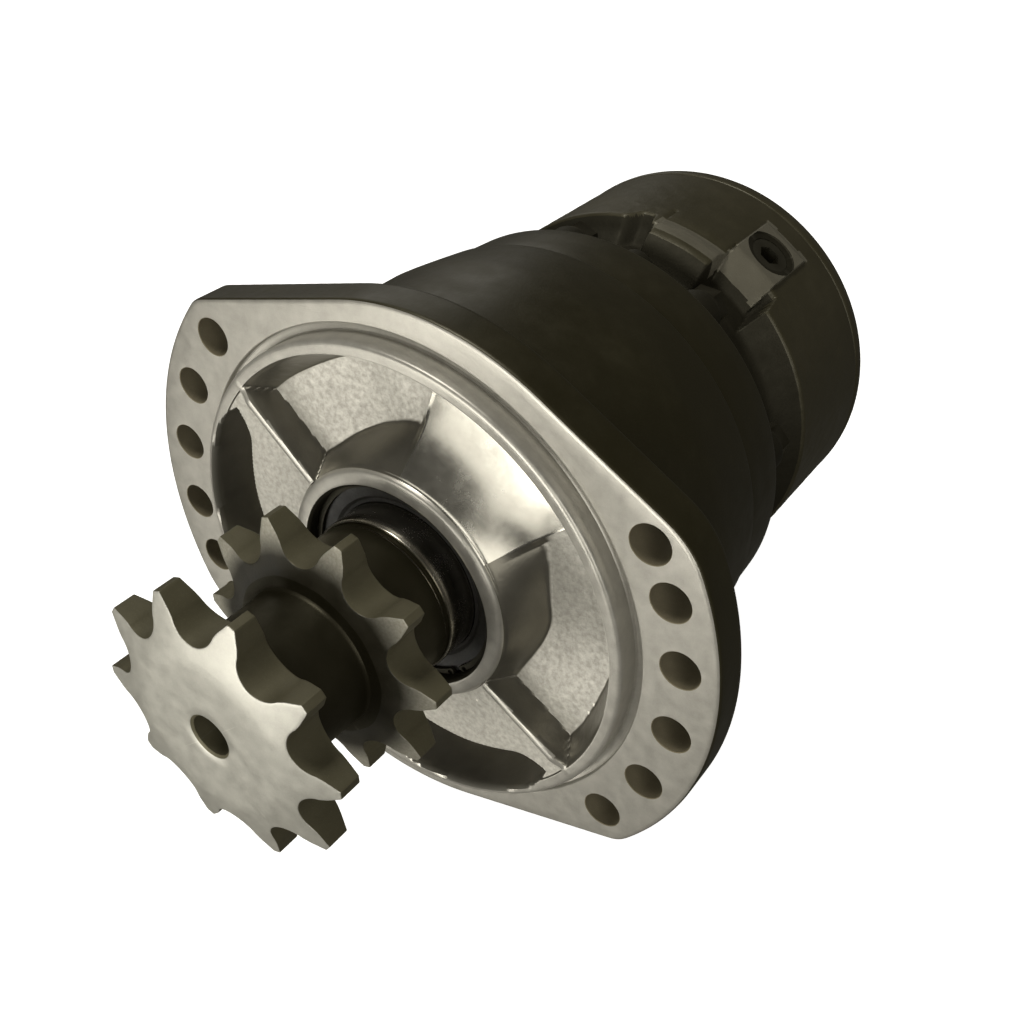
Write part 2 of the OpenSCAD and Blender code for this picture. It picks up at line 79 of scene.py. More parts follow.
def noise3(p, size, seed=0):
    """Value noise from -1 to 1 at points p (n x 3), with cells of that size."""
    q = np.asarray(p, float) / size
    i = np.floor(q).astype(np.int64)
    f = q - i
    f = f * f * (3 - 2 * f)
    out = 0.0
    for dx in (0, 1):
        for dy in (0, 1):
            for dz in (0, 1):
                w = (f[:, 0] if dx else 1 - f[:, 0]) * (f[:, 1] if dy else 1 - f[:, 1]) * (f[:, 2] if dz else 1 - f[:, 2])
                out = out + w * hash3(i[:, 0] + dx, i[:, 1] + dy, i[:, 2] + dz, seed)
    return out * 2 - 1


def smax(a, b, k):
    h = np.clip(0.5 + 0.5 * (a - b) / k, 0, 1)
    return b * (1 - h) + a * h + k * h * (1 - h)


def smin(a, b, k):
    return -smax(-a, -b, k)


def mesh_object(name, verts, quads, mats, index=None, sharp=35.0, tris=None, tri_index=0):
    """Mesh object from points in mm, four-sided faces and triangles, with smooth shading split at sharp edges."""
    me = bpy.data.meshes.new(name)
    verts = np.asarray(verts, np.float64) * MM
    quads = np.asarray(quads, np.int64)
    loops = quads.ravel()
    starts = np.arange(0, quads.size, 4)
    index = np.zeros(len(quads), int) if index is None else np.asarray(index, int)
    if tris is not None:
        tris = np.asarray(tris, np.int64)
        starts = np.concatenate([starts, quads.size + np.arange(0, tris.size, 3)])
        loops = np.concatenate([loops, tris.ravel()])
        index = np.concatenate([index, np.zeros(len(tris), int) + tri_index])
    me.vertices.add(len(verts))
    me.vertices.foreach_set("co", verts.astype(np.float32).ravel())
    me.loops.add(len(loops))
    me.loops.foreach_set("vertex_index", loops.astype(np.int32))
    me.polygons.add(len(starts))
    me.polygons.foreach_set("loop_start", starts.astype(np.int32))
    for m in mats:
        me.materials.append(m)
    me.polygons.foreach_set("material_index", index.astype(np.int32))
    me.update(calc_edges=True)
    me.validate()
    o = bpy.data.objects.new(name, me)
    scene.collection.objects.link(o)
    finish_shading(o, sharp)
    return o


def finish_shading(o, sharp=35.0):
    me = o.data
    me.polygons.foreach_set("use_smooth", np.ones(len(me.polygons), bool))
    me.set_sharp_from_angle(angle=math.radians(sharp))
    me.update()


def lathe_grid(name, X, Y, Z, mats, row_mat=None, sharp=35.0, closed=True, flip=False, cell_mat=None):
    """Surface from rows x columns of points in mm. The columns run round the shaft axis. A closed one joins its last row to its first, and an open one ends in two flat caps."""
    R, C = X.shape
    verts = np.stack([X, Y, Z], -1).reshape(-1, 3)
    n = R if closed else R - 1
    i, j = np.meshgrid(np.arange(n), np.arange(C), indexing="ij")
    i2, j2 = (i + 1) % R, (j + 1) % C
    quads = np.stack([i * C + j, i2 * C + j, i2 * C + j2, i * C + j2], -1).reshape(-1, 4)
    if cell_mat is not None:
        idx = np.asarray(cell_mat)[:n].reshape(-1)
    else:
        idx = np.repeat(np.asarray(row_mat)[:n], C) if row_mat is not None else np.zeros(len(quads), int)
    tris = None
    if not closed:
        j = np.arange(C)
        k = (j + 1) % C
        top = (R - 1) * C
        tris = np.concatenate([np.stack([j * 0 + R * C, j, k], -1), np.stack([j * 0 + R * C + 1, top + k, top + j], -1)])
        verts = np.concatenate([verts, [[0, Y[0].mean(), 0], [0, Y[-1].mean(), 0]]])
    if flip:
        quads = quads[:, ::-1]
        tris = None if tris is None else tris[:, ::-1]
    return mesh_object(name, verts, quads, mats, idx, sharp, tris, int(idx[0]))


def boolean(o, cutters, op="DIFFERENCE", keep=False):
    """Cuts the objects out of o, or joins them, and applies the result. The cutters' own materials come along."""
    for c in cutters:
        for m in c.data.materials:
            if m.name not in [x.name for x in o.data.materials]:
                o.data.materials.append(m)
        mod = o.modifiers.new("cut", "BOOLEAN")
        mod.operation = op
        mod.solver = "MANIFOLD"
        mod.object = c
        with bpy.context.temp_override(object=o, active_object=o, selected_objects=[o]):
            bpy.ops.object.modifier_apply(modifier=mod.name)
        if not keep:
            me = c.data
            bpy.data.objects.remove(c)
            bpy.data.meshes.remove(me)
    return o


def revolve(name, pts, mats, seg=240, row_mat=None, sharp=35.0):
    """Ring body from a closed outline of (radius, y) points in mm, in either sense."""
    a = np.linspace(0, 2 * math.pi, seg, endpoint=False)
    r = np.array([p[0] for p in pts], float)
    y = np.array([p[1] for p in pts], float)
    area = np.sum(r * np.roll(y, -1) - np.roll(r, -1) * y)
    Y = y[:, None] + 0 * a[None, :]
    return lathe_grid(name, r[:, None] * np.cos(a), Y, r[:, None] * np.sin(a), mats, row_mat, sharp, True, area < 0)


def curve(x, xs, ys):
    """Smooth line through the given points, without overshoot between them."""
    xs, ys = np.asarray(xs, float), np.asarray(ys, float)
    d = np.diff(ys) / np.diff(xs)
    m = np.concatenate([[d[0]], np.where(d[:-1] * d[1:] > 0, 2 * d[:-1] * d[1:] / np.where(d[:-1] + d[1:] == 0, 1, d[:-1] + d[1:]), 0.0), [d[-1]]])
    x = np.clip(np.asarray(x, float), xs[0], xs[-1])
    i = np.clip(np.searchsorted(xs, x, side="right") - 1, 0, len(xs) - 2)
    h = xs[i + 1] - xs[i]
    t = (x - xs[i]) / h
    return (2 * t**3 - 3 * t**2 + 1) * ys[i] + (t**3 - 2 * t**2 + t) * h * m[i] + (-2 * t**3 + 3 * t**2) * ys[i + 1] + (t**3 - t**2) * h * m[i + 1]


def together(objs):
    """One object from several, with their materials."""
    base = objs[0]
    with bpy.context.temp_override(object=base, active_object=base, selected_objects=objs, selected_editable_objects=objs):
        bpy.ops.object.join()
    return base


def cylinder_at(name, base, direction, profile, mats, seg=48, row_mat=None, sharp=35.0, hexa=False):
    """Solid of revolution about a line. base and direction in mm, profile = (radius, height) from bottom to top, closed at both ends by a point."""
    d = np.array(direction, float)
    d /= np.linalg.norm(d)
    u = np.cross(d, [0.0, 0.0, 1.0])
    if np.linalg.norm(u) < 1e-6:
        u = np.array([1.0, 0, 0])
    u /= np.linalg.norm(u)
    v = np.cross(d, u)
    a = np.linspace(0, 2 * math.pi, seg, endpoint=False)
    rows = []
    for r, h in profile:
        if hexa:
            k = r / np.cos((a % (math.pi / 3)) - math.pi / 6) * math.cos(math.pi / 6)
        else:
            k = np.full_like(a, r)
        rows.append(np.array(base)[None, :] + d[None, :] * h + k[:, None] * (np.cos(a)[:, None] * u + np.sin(a)[:, None] * v))
    verts = np.concatenate(rows)
    n = len(rows)
    faces = []
    idx = []
    for i in range(n - 1):
        for j in range(seg):
            j2 = (j + 1) % seg
            faces.append((i * seg + j, i * seg + j2, (i + 1) * seg + j2, (i + 1) * seg + j))
            idx.append(row_mat[i] if row_mat else 0)
    me = bpy.data.meshes.new(name)
    me.from_pydata([tuple(p * MM) for p in verts], [], faces + [tuple(range(seg - 1, -1, -1)), tuple((n - 1) * seg + j for j in range(seg))])
    for m in mats:
        me.materials.append(m)
    me.polygons.foreach_set("material_index", idx + [row_mat[0] if row_mat else 0, row_mat[-1] if row_mat else 0])
    me.validate()
    me.update()
    o = bpy.data.objects.new(name, me)
    scene.collection.objects.link(o)
    finish_shading(o, sharp)
    return o


def rad(a):
    """Unit direction in the XZ plane for an angle in degrees from +X towards +Z."""
    a = math.radians(a)
    return np.array([math.cos(a), 0.0, math.sin(a)])


# ------------------------------------------------------------------ finishes
class Nodes:
    """Short way to wire a material's nodes."""

    def __init__(self, name):
        self.mat = bpy.data.materials.new(name)
        self.mat.use_nodes = True
        self.t = self.mat.node_tree
        self.bsdf = next(n for n in self.t.nodes if n.type == "BSDF_PRINCIPLED")
        self.co = self.t.nodes.new("ShaderNodeTexCoord").outputs["Object"]

    def new(self, kind, **inputs):
        n = self.t.nodes.new(kind)
        for k, v in inputs.items():
            key = k.replace("_", " ")
            s = n.inputs[int(k[1:])] if k[0] == "i" and k[1:].isdigit() else n.inputs[key]
            if isinstance(v, bpy.types.NodeSocket):
                self.t.links.new(v, s)
            else:
                s.default_value = v
        return n

    def noise(self, scale, detail=3.0, rough=0.55, vec=None):
        return self.new("ShaderNodeTexNoise", Vector=vec or self.co, Scale=scale, Detail=detail, Roughness=rough).outputs[0]

    def math(self, op, a, b=0.0, clamp=False):
        n = self.new("ShaderNodeMath", i0=a, i1=b)
        n.operation = op
        n.use_clamp = clamp
        return n.outputs[0]

    def span(self, x, a, b, c, d):
        n = self.new("ShaderNodeMapRange")
        n.clamp = True
        for k, v in zip(("Value", "From Min", "From Max", "To Min", "To Max"), (x, a, b, c, d)):
            if isinstance(v, bpy.types.NodeSocket):
                self.t.links.new(v, n.inputs[k])
            else:
                n.inputs[k].default_value = v
        return n.outputs["Result"]

    def mix(self, f, a, b, blend="MIX"):
        n = self.t.nodes.new("ShaderNodeMix")
        n.data_type = "RGBA"
        n.blend_type = blend
        for i, v in ((0, f), (6, a), (7, b)):
            if isinstance(v, bpy.types.NodeSocket):
                self.t.links.new(v, n.inputs[i])
            else:
                n.inputs[i].default_value = v if i == 0 else (*v, 1.0)
        return n.outputs[2]

    def radius(self):
        """Distance from the shaft axis, in metres, and the Y coordinate."""
        s = self.new("ShaderNodeSeparateXYZ", Vector=self.co)
        r2 = self.math("ADD", self.math("MULTIPLY", s.outputs[0], s.outputs[0]), self.math("MULTIPLY", s.outputs[2], s.outputs[2]))
        return self.math("SQRT", r2), s.outputs[1]

    def bump(self, height, strength, distance, normal=None):
        n = self.new("ShaderNodeBump", Height=height, Strength=strength, Distance=distance)
        if normal is not None:
            self.t.links.new(normal, n.inputs["Normal"])
        return n.outputs[0]

    def out(self, base, rough, metallic=0.0, normal=None, **fixed):
        b = self.bsdf
        for k, v in (("Base Color", base), ("Roughness", rough), ("Metallic", metallic)):
            if isinstance(v, bpy.types.NodeSocket):
                self.t.links.new(v, b.inputs[k])
            else:
                b.inputs[k].default_value = (*v, 1.0) if isinstance(v, tuple) else v
        if normal is not None:
            self.t.links.new(normal, b.inputs["Normal"])
        for k, v in fixed.items():
            b.inputs[k.replace("_", " ")].default_value = v
        return self.mat


def wear(n, lo=0.52, hi=0.62):
    """0 on flat metal, towards 1 on outer edges."""
    return n.span(n.new("ShaderNodeNewGeometry").outputs["Pointiness"], lo, hi, 0.0, 1.0)


def machined(name, lo, hi, rough=0.42, metallic=0.6, turn=0.0, grain=0.25, stain=0.25):
    """Bare turned or milled iron: fine grain, faint turning marks, darker handling stains."""
    n = Nodes(name)
    fine = n.noise(1500.0, 4.0, 0.6)
    mid = n.noise(160.0, 4.0, 0.6)
    big = n.noise(22.0, 4.0, 0.6)
    base = n.mix(n.span(mid, 0.3, 0.7, 0, 1), lo, hi)
    base = n.mix(n.span(big, 0.42, 0.72, 0.0, stain), base, tuple(c * 0.72 for c in lo))
    base = n.mix(n.span(fine, 0.35, 0.75, 0.0, 0.22), base, tuple(min(1, c * 1.18) for c in hi))
    base = n.mix(n.math("MULTIPLY", wear(n), 0.35), base, tuple(min(1, c * 1.25) for c in hi))
    r = n.span(n.math("ADD", n.math("MULTIPLY", mid, 0.5), n.math("MULTIPLY", big, 0.5)), 0.3, 0.7, rough - 0.07, rough + 0.08)
    nrm = n.bump(fine, grain, 0.0001)
    if turn:
        rr, _ = n.radius()
        wave = n.math("SINE", n.math("MULTIPLY", rr, 9000.0))
        nrm = n.bump(n.math("ADD", wave, n.math("MULTIPLY", n.noise(900.0), 1.6)), turn, 0.00003, nrm)
    return n.out(base, r, metallic, nrm, Specular_IOR_Level=0.5)


def paint(name, base_rgb, hi_rgb, rough=0.4, coat=0.12, orange=0.25, metallic=0.0, edge=0.35, edge_rgb=(0.12, 0.115, 0.09)):
    """Semi-gloss paint over a casting: orange peel, dull dusty patches and rubbed edges."""
    n = Nodes(name)
    peel = n.noise(700.0, 2.0, 0.5)
    mid = n.noise(90.0, 4.0, 0.6)
    big = n.noise(18.0, 4.0, 0.65)
    dust = n.math("MULTIPLY", n.span(big, 0.42, 0.74, 0.0, 1.0), n.span(mid, 0.3, 0.7, 0.35, 1.0))
    base = n.mix(n.math("MULTIPLY", dust, 0.75), base_rgb, hi_rgb)
    spk = n.noise(2600.0, 2.0, 0.5)
    base = n.mix(n.span(spk, 0.6, 0.8, 0.0, 0.35), base, tuple(c * 1.7 for c in hi_rgb))
    base = n.mix(n.math("MULTIPLY", wear(n, 0.53, 0.66), edge), base, edge_rgb)
    r = n.span(n.math("ADD", n.math("MULTIPLY", mid, 0.6), n.math("MULTIPLY", big, 0.4)), 0.32, 0.68, rough - 0.08, rough + 0.14)
    h = n.math("ADD", n.math("MULTIPLY", peel, 0.5), mid)
    return n.out(base, r, metallic, n.bump(h, orange, 0.0004), Coat_Weight=coat, Coat_Roughness=0.3, Specular_IOR_Level=0.45, Specular_Tint=(1.0, 0.94, 0.72, 1.0))


def rubber(name):
    n = Nodes(name)
    a, b = n.noise(900.0, 4.0), n.noise(120.0, 3.0)
    base = n.mix(n.span(a, 0.35, 0.7, 0, 1), (0.008, 0.0072, 0.0055), (0.018, 0.0165, 0.013))
    return n.out(base, n.span(b, 0.3, 0.7, 0.5, 0.7), 0.0, n.bump(a, 0.3, 0.0001))


def polished(name, lo, hi, rough=0.2, metallic=1.0):
    """Ground bearing or seal-running steel."""
    n = Nodes(name)
    a, b = n.noise(2200.0, 3.0), n.noise(70.0, 3.0)
    base = n.mix(n.span(b, 0.3, 0.7, 0, 1), lo, hi)
    return n.out(base, n.span(n.math("ADD", n.math("MULTIPLY", a, 0.5), n.math("MULTIPLY", b, 0.5)), 0.3, 0.7, rough - 0.05, rough + 0.08), metallic, n.bump(a, 0.12, 0.00005))


def lining(name):
    n = Nodes(name)
    a, b = n.noise(1300.0, 5.0), n.noise(260.0, 4.0)
    base = n.mix(n.span(a, 0.35, 0.65, 0, 1), (0.06, 0.045, 0.03), (0.16, 0.12, 0.08))
    return n.out(n.mix(n.span(b, 0.4, 0.7, 0, 0.5), base, (0.30, 0.22, 0.11)), 0.8, 0.0, n.bump(a, 0.6, 0.0002))


M_FACE = machined("bare_machined_iron", (0.335, 0.322, 0.285), (0.42, 0.405, 0.36), 0.36, 0.6, turn=0.25)
M_SPROCKET = machined("bare_sprocket_face", (0.34, 0.33, 0.29), (0.43, 0.42, 0.37), 0.36, 0.5, turn=0.15, stain=0.4)
M_SMOOTH = machined("smooth_cast_iron", (0.38, 0.365, 0.32), (0.47, 0.455, 0.40), 0.24, 0.95, grain=0.05, stain=0.2)
M_PAINT = paint("black_olive_paint", (0.0150, 0.0128, 0.0048), (0.030, 0.0265, 0.0135), 0.38)
M_PAINT_REAR = paint("black_olive_paint_rear", (0.034, 0.0300, 0.0160), (0.056, 0.050, 0.030), 0.40)
# Painted highlight: a much lighter copy of the rear paint on the gallery tube and the port blocks, standing in for
# their sheen.
M_PAINT_BOSS_HIGHLIGHT = paint("black_olive_paint_boss_painted_highlight", (0.110, 0.102, 0.077), (0.165, 0.155, 0.120), 0.40)
# Painted shade: a near-black copy of the paint on the rear housing's neck, the drum's front slope and the insides of
# ports and counterbores, where they lie in shade.
M_PAINT_SHADE = paint("black_olive_paint_painted_shade", (0.0070, 0.0060, 0.0030), (0.012, 0.0105, 0.006), 0.60, coat=0.0, orange=0.4)
# Hole walls: a much lighter copy of the flange paint, painted light standing in for the light the walls of the through
# holes catch.
M_HOLE_LIT = paint("hole_wall_painted_light", (0.150, 0.130, 0.085), (0.22, 0.195, 0.135), 0.6, coat=0.0, orange=0.4)
M_FLANK = paint("dark_tooth_flank", (0.078, 0.071, 0.044), (0.110, 0.101, 0.066), 0.46, coat=0.0, orange=0.35, metallic=0.1)
# Dark shaft: partly the neck's own dark oxide, partly painted shade, near black where the tooth rows shadow the neck
# between and behind them.
M_DARK_SHAFT_SHADE = paint("dark_shaft_painted_shade", (0.015, 0.013, 0.0065), (0.025, 0.022, 0.013), 0.38, coat=0.0, orange=0.15, metallic=0.4)
# Painted shade: a near-black wall for the hub's bore and the seal's retaining ring, where the recess lies in shade.
M_BORE_SHADE = paint("bore_wall_painted_shade", (0.014, 0.0125, 0.0085), (0.024, 0.0215, 0.0155), 0.58, coat=0.0, orange=0.1, metallic=0.5, edge=0.1)
M_SHAFT = polished("ground_shaft_steel", (0.40, 0.375, 0.32), (0.50, 0.475, 0.41), 0.22)
M_BEARING = polished("bearing_steel", (0.62, 0.62, 0.60), (0.74, 0.74, 0.72), 0.16)
M_SPRING = polished("spring_steel", (0.26, 0.25, 0.23), (0.36, 0.35, 0.32), 0.34)
M_CAGE = polished("cage_steel", (0.30, 0.28, 0.23), (0.42, 0.39, 0.33), 0.42)
M_BLOCK = machined("block_iron", (0.26, 0.26, 0.245), (0.36, 0.36, 0.34), 0.38, 0.8)
M_BOLT = paint("blackened_bolt", (0.014, 0.012, 0.007), (0.030, 0.027, 0.017), 0.42, coat=0.0, orange=0.3, metallic=0.5)
M_RUBBER = rubber("seal_rubber")
M_LINING = lining("brake_lining")


def row_face(name):
    """Front face of the rear chain row: painted shade, near black, near the neck where the front row shadows it, and
    painted light on the teeth.
    """
    n = Nodes(name)
    rr, _ = n.radius()
    a, b, c = n.noise(900.0, 4.0, 0.6), n.noise(120.0, 4.0, 0.6), n.noise(30.0, 3.0, 0.6)
    base = n.mix(n.span(b, 0.3, 0.7, 0, 1), (0.020, 0.0175, 0.010), (0.036, 0.032, 0.020))
    lit = n.mix(n.span(a, 0.3, 0.7, 0, 1), (0.25, 0.235, 0.185), (0.36, 0.345, 0.285))
    edge = n.math("ADD", rr, n.math("MULTIPLY", n.math("SUBTRACT", c, 0.5), 0.006))
    # f runs from 0 near the neck, painted shade, to 1 on the teeth, painted light.
    f = n.span(edge, 0.0435, 0.0535, 0.0, 1.0)
    return n.out(n.mix(f, base, lit), n.span(b, 0.3, 0.7, 0.38, 0.5), n.span(f, 0.0, 1.0, 0.2, 0.45), n.bump(a, 0.25, 0.0002), Specular_IOR_Level=0.5)


def pocket(name, lo, hi, shade_lo, shade_hi):
    """Skin of the casting's front: pebbled and pale where it is flat, smooth on its steep walls and in its depths. The
    steep walls carry painted shade in dark colours, and the depths below 12.5 mm a pale tone as painted light.
    """
    n = Nodes(name)
    peb, fine, big = n.noise(420.0, 5.0, 0.62), n.noise(1430.0, 3.0, 0.6), n.noise(35.0, 3.0, 0.6)
    pit = n.new("ShaderNodeTexVoronoi", Vector=n.co, Scale=231.0).outputs["Distance"]
    way = n.new("ShaderNodeSeparateXYZ", Vector=n.new("ShaderNodeTexCoord").outputs["Normal"])
    _, y = n.radius()
    flat = n.math("MULTIPLY", way.outputs[1], -1.0)
    f = n.math("MAXIMUM", n.span(flat, 0.93, 0.80, 0.0, 1.0), n.span(y, 0.0125, 0.0150, 0.0, 1.0))
    base = n.mix(n.span(peb, 0.36, 0.66, 0, 1), lo, hi)
    base = n.mix(n.span(big, 0.35, 0.7, 0.0, 0.3), base, tuple(c * 0.75 for c in lo))
    base = n.mix(n.span(pit, 0.0, 0.22, 0.3, 0.0), base, tuple(c * 0.6 for c in lo))
    # Steep walls get painted shade in the dark colours; the floors below 12.5 mm depth get a pale tone instead, as
    # painted light against their shade.
    deep = n.mix(n.span(big, 0.3, 0.7, 0, 1), shade_lo, shade_hi)
    deep = n.mix(n.span(y, 0.0125, 0.0150, 0.0, 1.0), deep, tuple(c * 1.35 for c in lo))
    base = n.mix(f, base, deep)
    base = n.mix(n.math("MULTIPLY", wear(n, 0.525, 0.60), 0.8), base, tuple(min(1, c * 1.7) for c in hi))
    h = n.math("ADD", n.math("MULTIPLY", peb, 1.0), n.math("MULTIPLY", fine, 0.35))
    h = n.math("ADD", h, n.math("MULTIPLY", n.span(pit, 0.0, 0.25, 0.0, 1.0), 0.25))
    h = n.math("MULTIPLY", h, n.span(f, 0.0, 1.0, 1.0, 0.18))
    r = n.span(f, 0.0, 1.0, n.span(peb, 0.3, 0.7, 0.6, 0.45), 0.30)
    return n.out(base, r, n.span(f, 0.0, 1.0, 0.25, 0.75), n.bump(h, 0.7, 0.00035), Specular_IOR_Level=0.5)


M_ROW_FACE_SHADE = row_face("rear_row_face_painted_shade")
M_POCKET = pocket("bare_casting_front_painted_shade", (0.34, 0.325, 0.285), (0.50, 0.485, 0.43), (0.13, 0.122, 0.098), (0.19, 0.18, 0.15))
M_BARE = (M_FACE, M_POCKET, M_SMOOTH, M_PAINT, M_BORE_SHADE)

# ------------------------------------------------------------------ main sizes in mm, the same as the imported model's
FLANGE_R, FLANGE_T, PILOT_R, BARREL_R, END_R, HOUSING_END, HUB_R, BORE_R = 145.5, 17.7, 108.8, 110.0, 106.5, 108.6, 54.6, 46.9
HOLES = (32.8, 22.2, 8.9, -6.1, -21.3, -36.5)
BOLTS = [59 + 45 * i for i in range(8)]
PINS = (81.5, 261.5)


def outline_radius(th):
    """Distance of the flange's rounded outline from the shaft axis, for angles in degrees."""
    da, db, ea, eb = math.radians(108.4), math.radians(62.7), 122.3, 125.0

    def corner(d, a, f, s):
        t = math.sqrt((FLANGE_R - f) ** 2 - (d - f) ** 2)
        return (d - f) * math.cos(a) + s * t * math.sin(a), (d - f) * math.sin(a) - s * t * math.cos(a)

    c1, c2 = corner(eb, db, 40, 1), corner(ea, da, 15, -1)
    p, q, sn = eb - 118, ea - 118, math.sin(da - db)
    cr = ((p * math.sin(da) - q * math.sin(db)) / sn, (q * math.cos(db) - p * math.cos(da)) / sn)
    a1, a2 = math.atan2(c1[1], c1[0]), math.atan2(c2[1], c2[0])
    pts = []
    for c, r, b0, b1 in ((c1, 40, a1, db), (cr, 118, db, da), (c2, 15, da, a2), ((0, 0), FLANGE_R, a2, a1 + math.pi)):
        for t in np.linspace(b0, b1, 60):
            pts.append((c[0] + r * math.cos(t), c[1] + r * math.sin(t)))
    dense = []
    for u, v in zip(pts, pts[1:]):
        for t in np.linspace(0, 1, 12, endpoint=False):
            dense.append((u[0] + (v[0] - u[0]) * t, u[1] + (v[1] - u[1]) * t))
    d = np.array(dense)
    d = np.concatenate([d, -d])
    ang = np.degrees(np.arctan2(d[:, 1], d[:, 0])) % 360
    o = np.argsort(ang)
    return 0.9998 * np.interp(np.asarray(th) % 360, ang[o], np.hypot(d[:, 0], d[:, 1])[o], period=360)


def casting_front(r, phi):
    """How far the front of the casting lies behind the mounting face, between hub and pilot. Also how much of it is rough skin and how much smooth."""
    a = np.abs(phi)
    # webs with their raised ribs, and the pilot's inner ring
    u = r * np.sin(np.radians(a - 86.6))
    web = smin(-7.6, -8.6 + 4.0 * np.maximum(0, r - 54.7), 1.0)
    ring = -8.2 + 3.0 * np.maximum(0, 103.3 - r)
    rib = -10.0 + 0.12 * np.minimum(np.abs(u), 1.9) ** 2 + 2.8 * np.maximum(0, np.abs(u) - 1.9) + 1.7 * smooth(r, 96, 103)
    top = smin(smin(web, ring, 1.2), rib, 0.5)
    # open pocket with its deeper, smooth middle
    arc = np.radians(r)
    deep = np.clip((phi + 19.5) * arc / 3.2 + 0.5, 0, 1) * np.clip((33.5 - phi) * arc / 3.2 + 0.5, 0, 1)
    floor = 10.0 - 7.0 * smooth(a, 50, 78) + 5.0 * smooth(r, 76, 95) * (1 - smooth(arc * (np.abs(phi - 7.0) - 26.5), 0.5, 17.0))
    wall = smin(-8.2 + (2.6 - 1.2 * smooth(a, 50, 76)) * (103.2 - r), -8.8 - 5.0 * (u + 2.0), 1.6)
    steep = 1.06 + 0.62 * smooth(np.abs(phi - 7.0), 27, 52)
    plain = smin(-8.4 + steep * (r - 54.7), floor, 2.6)
    sunk = curve(r, [54.7, 58, 63, 68, 72, 77, 83, 90, 98, 110], [-8.4, -5.0, -0.4, 3.6, 6.3, 9.2, 12.2, 15.1, 17.6, 18.0])
    pocket_y = smin(wall, plain * (1 - deep) + sunk * deep, 2.0)
    # curved slots beside the webs, and the deep pocket between them
    ro = 106.0 - 3.0 * np.clip((a - 120.5) / 23.5, -1.3, 1.3) ** 4
    ri = curve(a, [86, 93, 95, 98, 102, 111, 116, 125, 135, 140.6, 146, 149, 156], [150, 101, 93.5, 88.5, 86, 82, 80, 76, 72, 70.6, 79, 95, 150])
    slot = smin(smin(4.0 * (ro - r), 3.4 * (r - ri), 6.0) - 8.0, 20.0, 3.0)
    end = r * np.sin(np.radians(a - 153.0))
    back = smin(smin(smin(3.2 * (100.0 - r), 3.2 * (r - 64.0), 5.0), 4.0 * end, 5.0) - 8.0, 20.0, 3.0)
    low = np.maximum(np.maximum(pocket_y, slot), back)
    y = smax(top, low, 1.1)
    inside = smooth(y, -6.5, -3.0)
    return y, inside, deep * smooth(pocket_y - slot, 0, 1) * smooth(wall - sunk, 0, 1), smooth(slot - pocket_y, -1, 1)


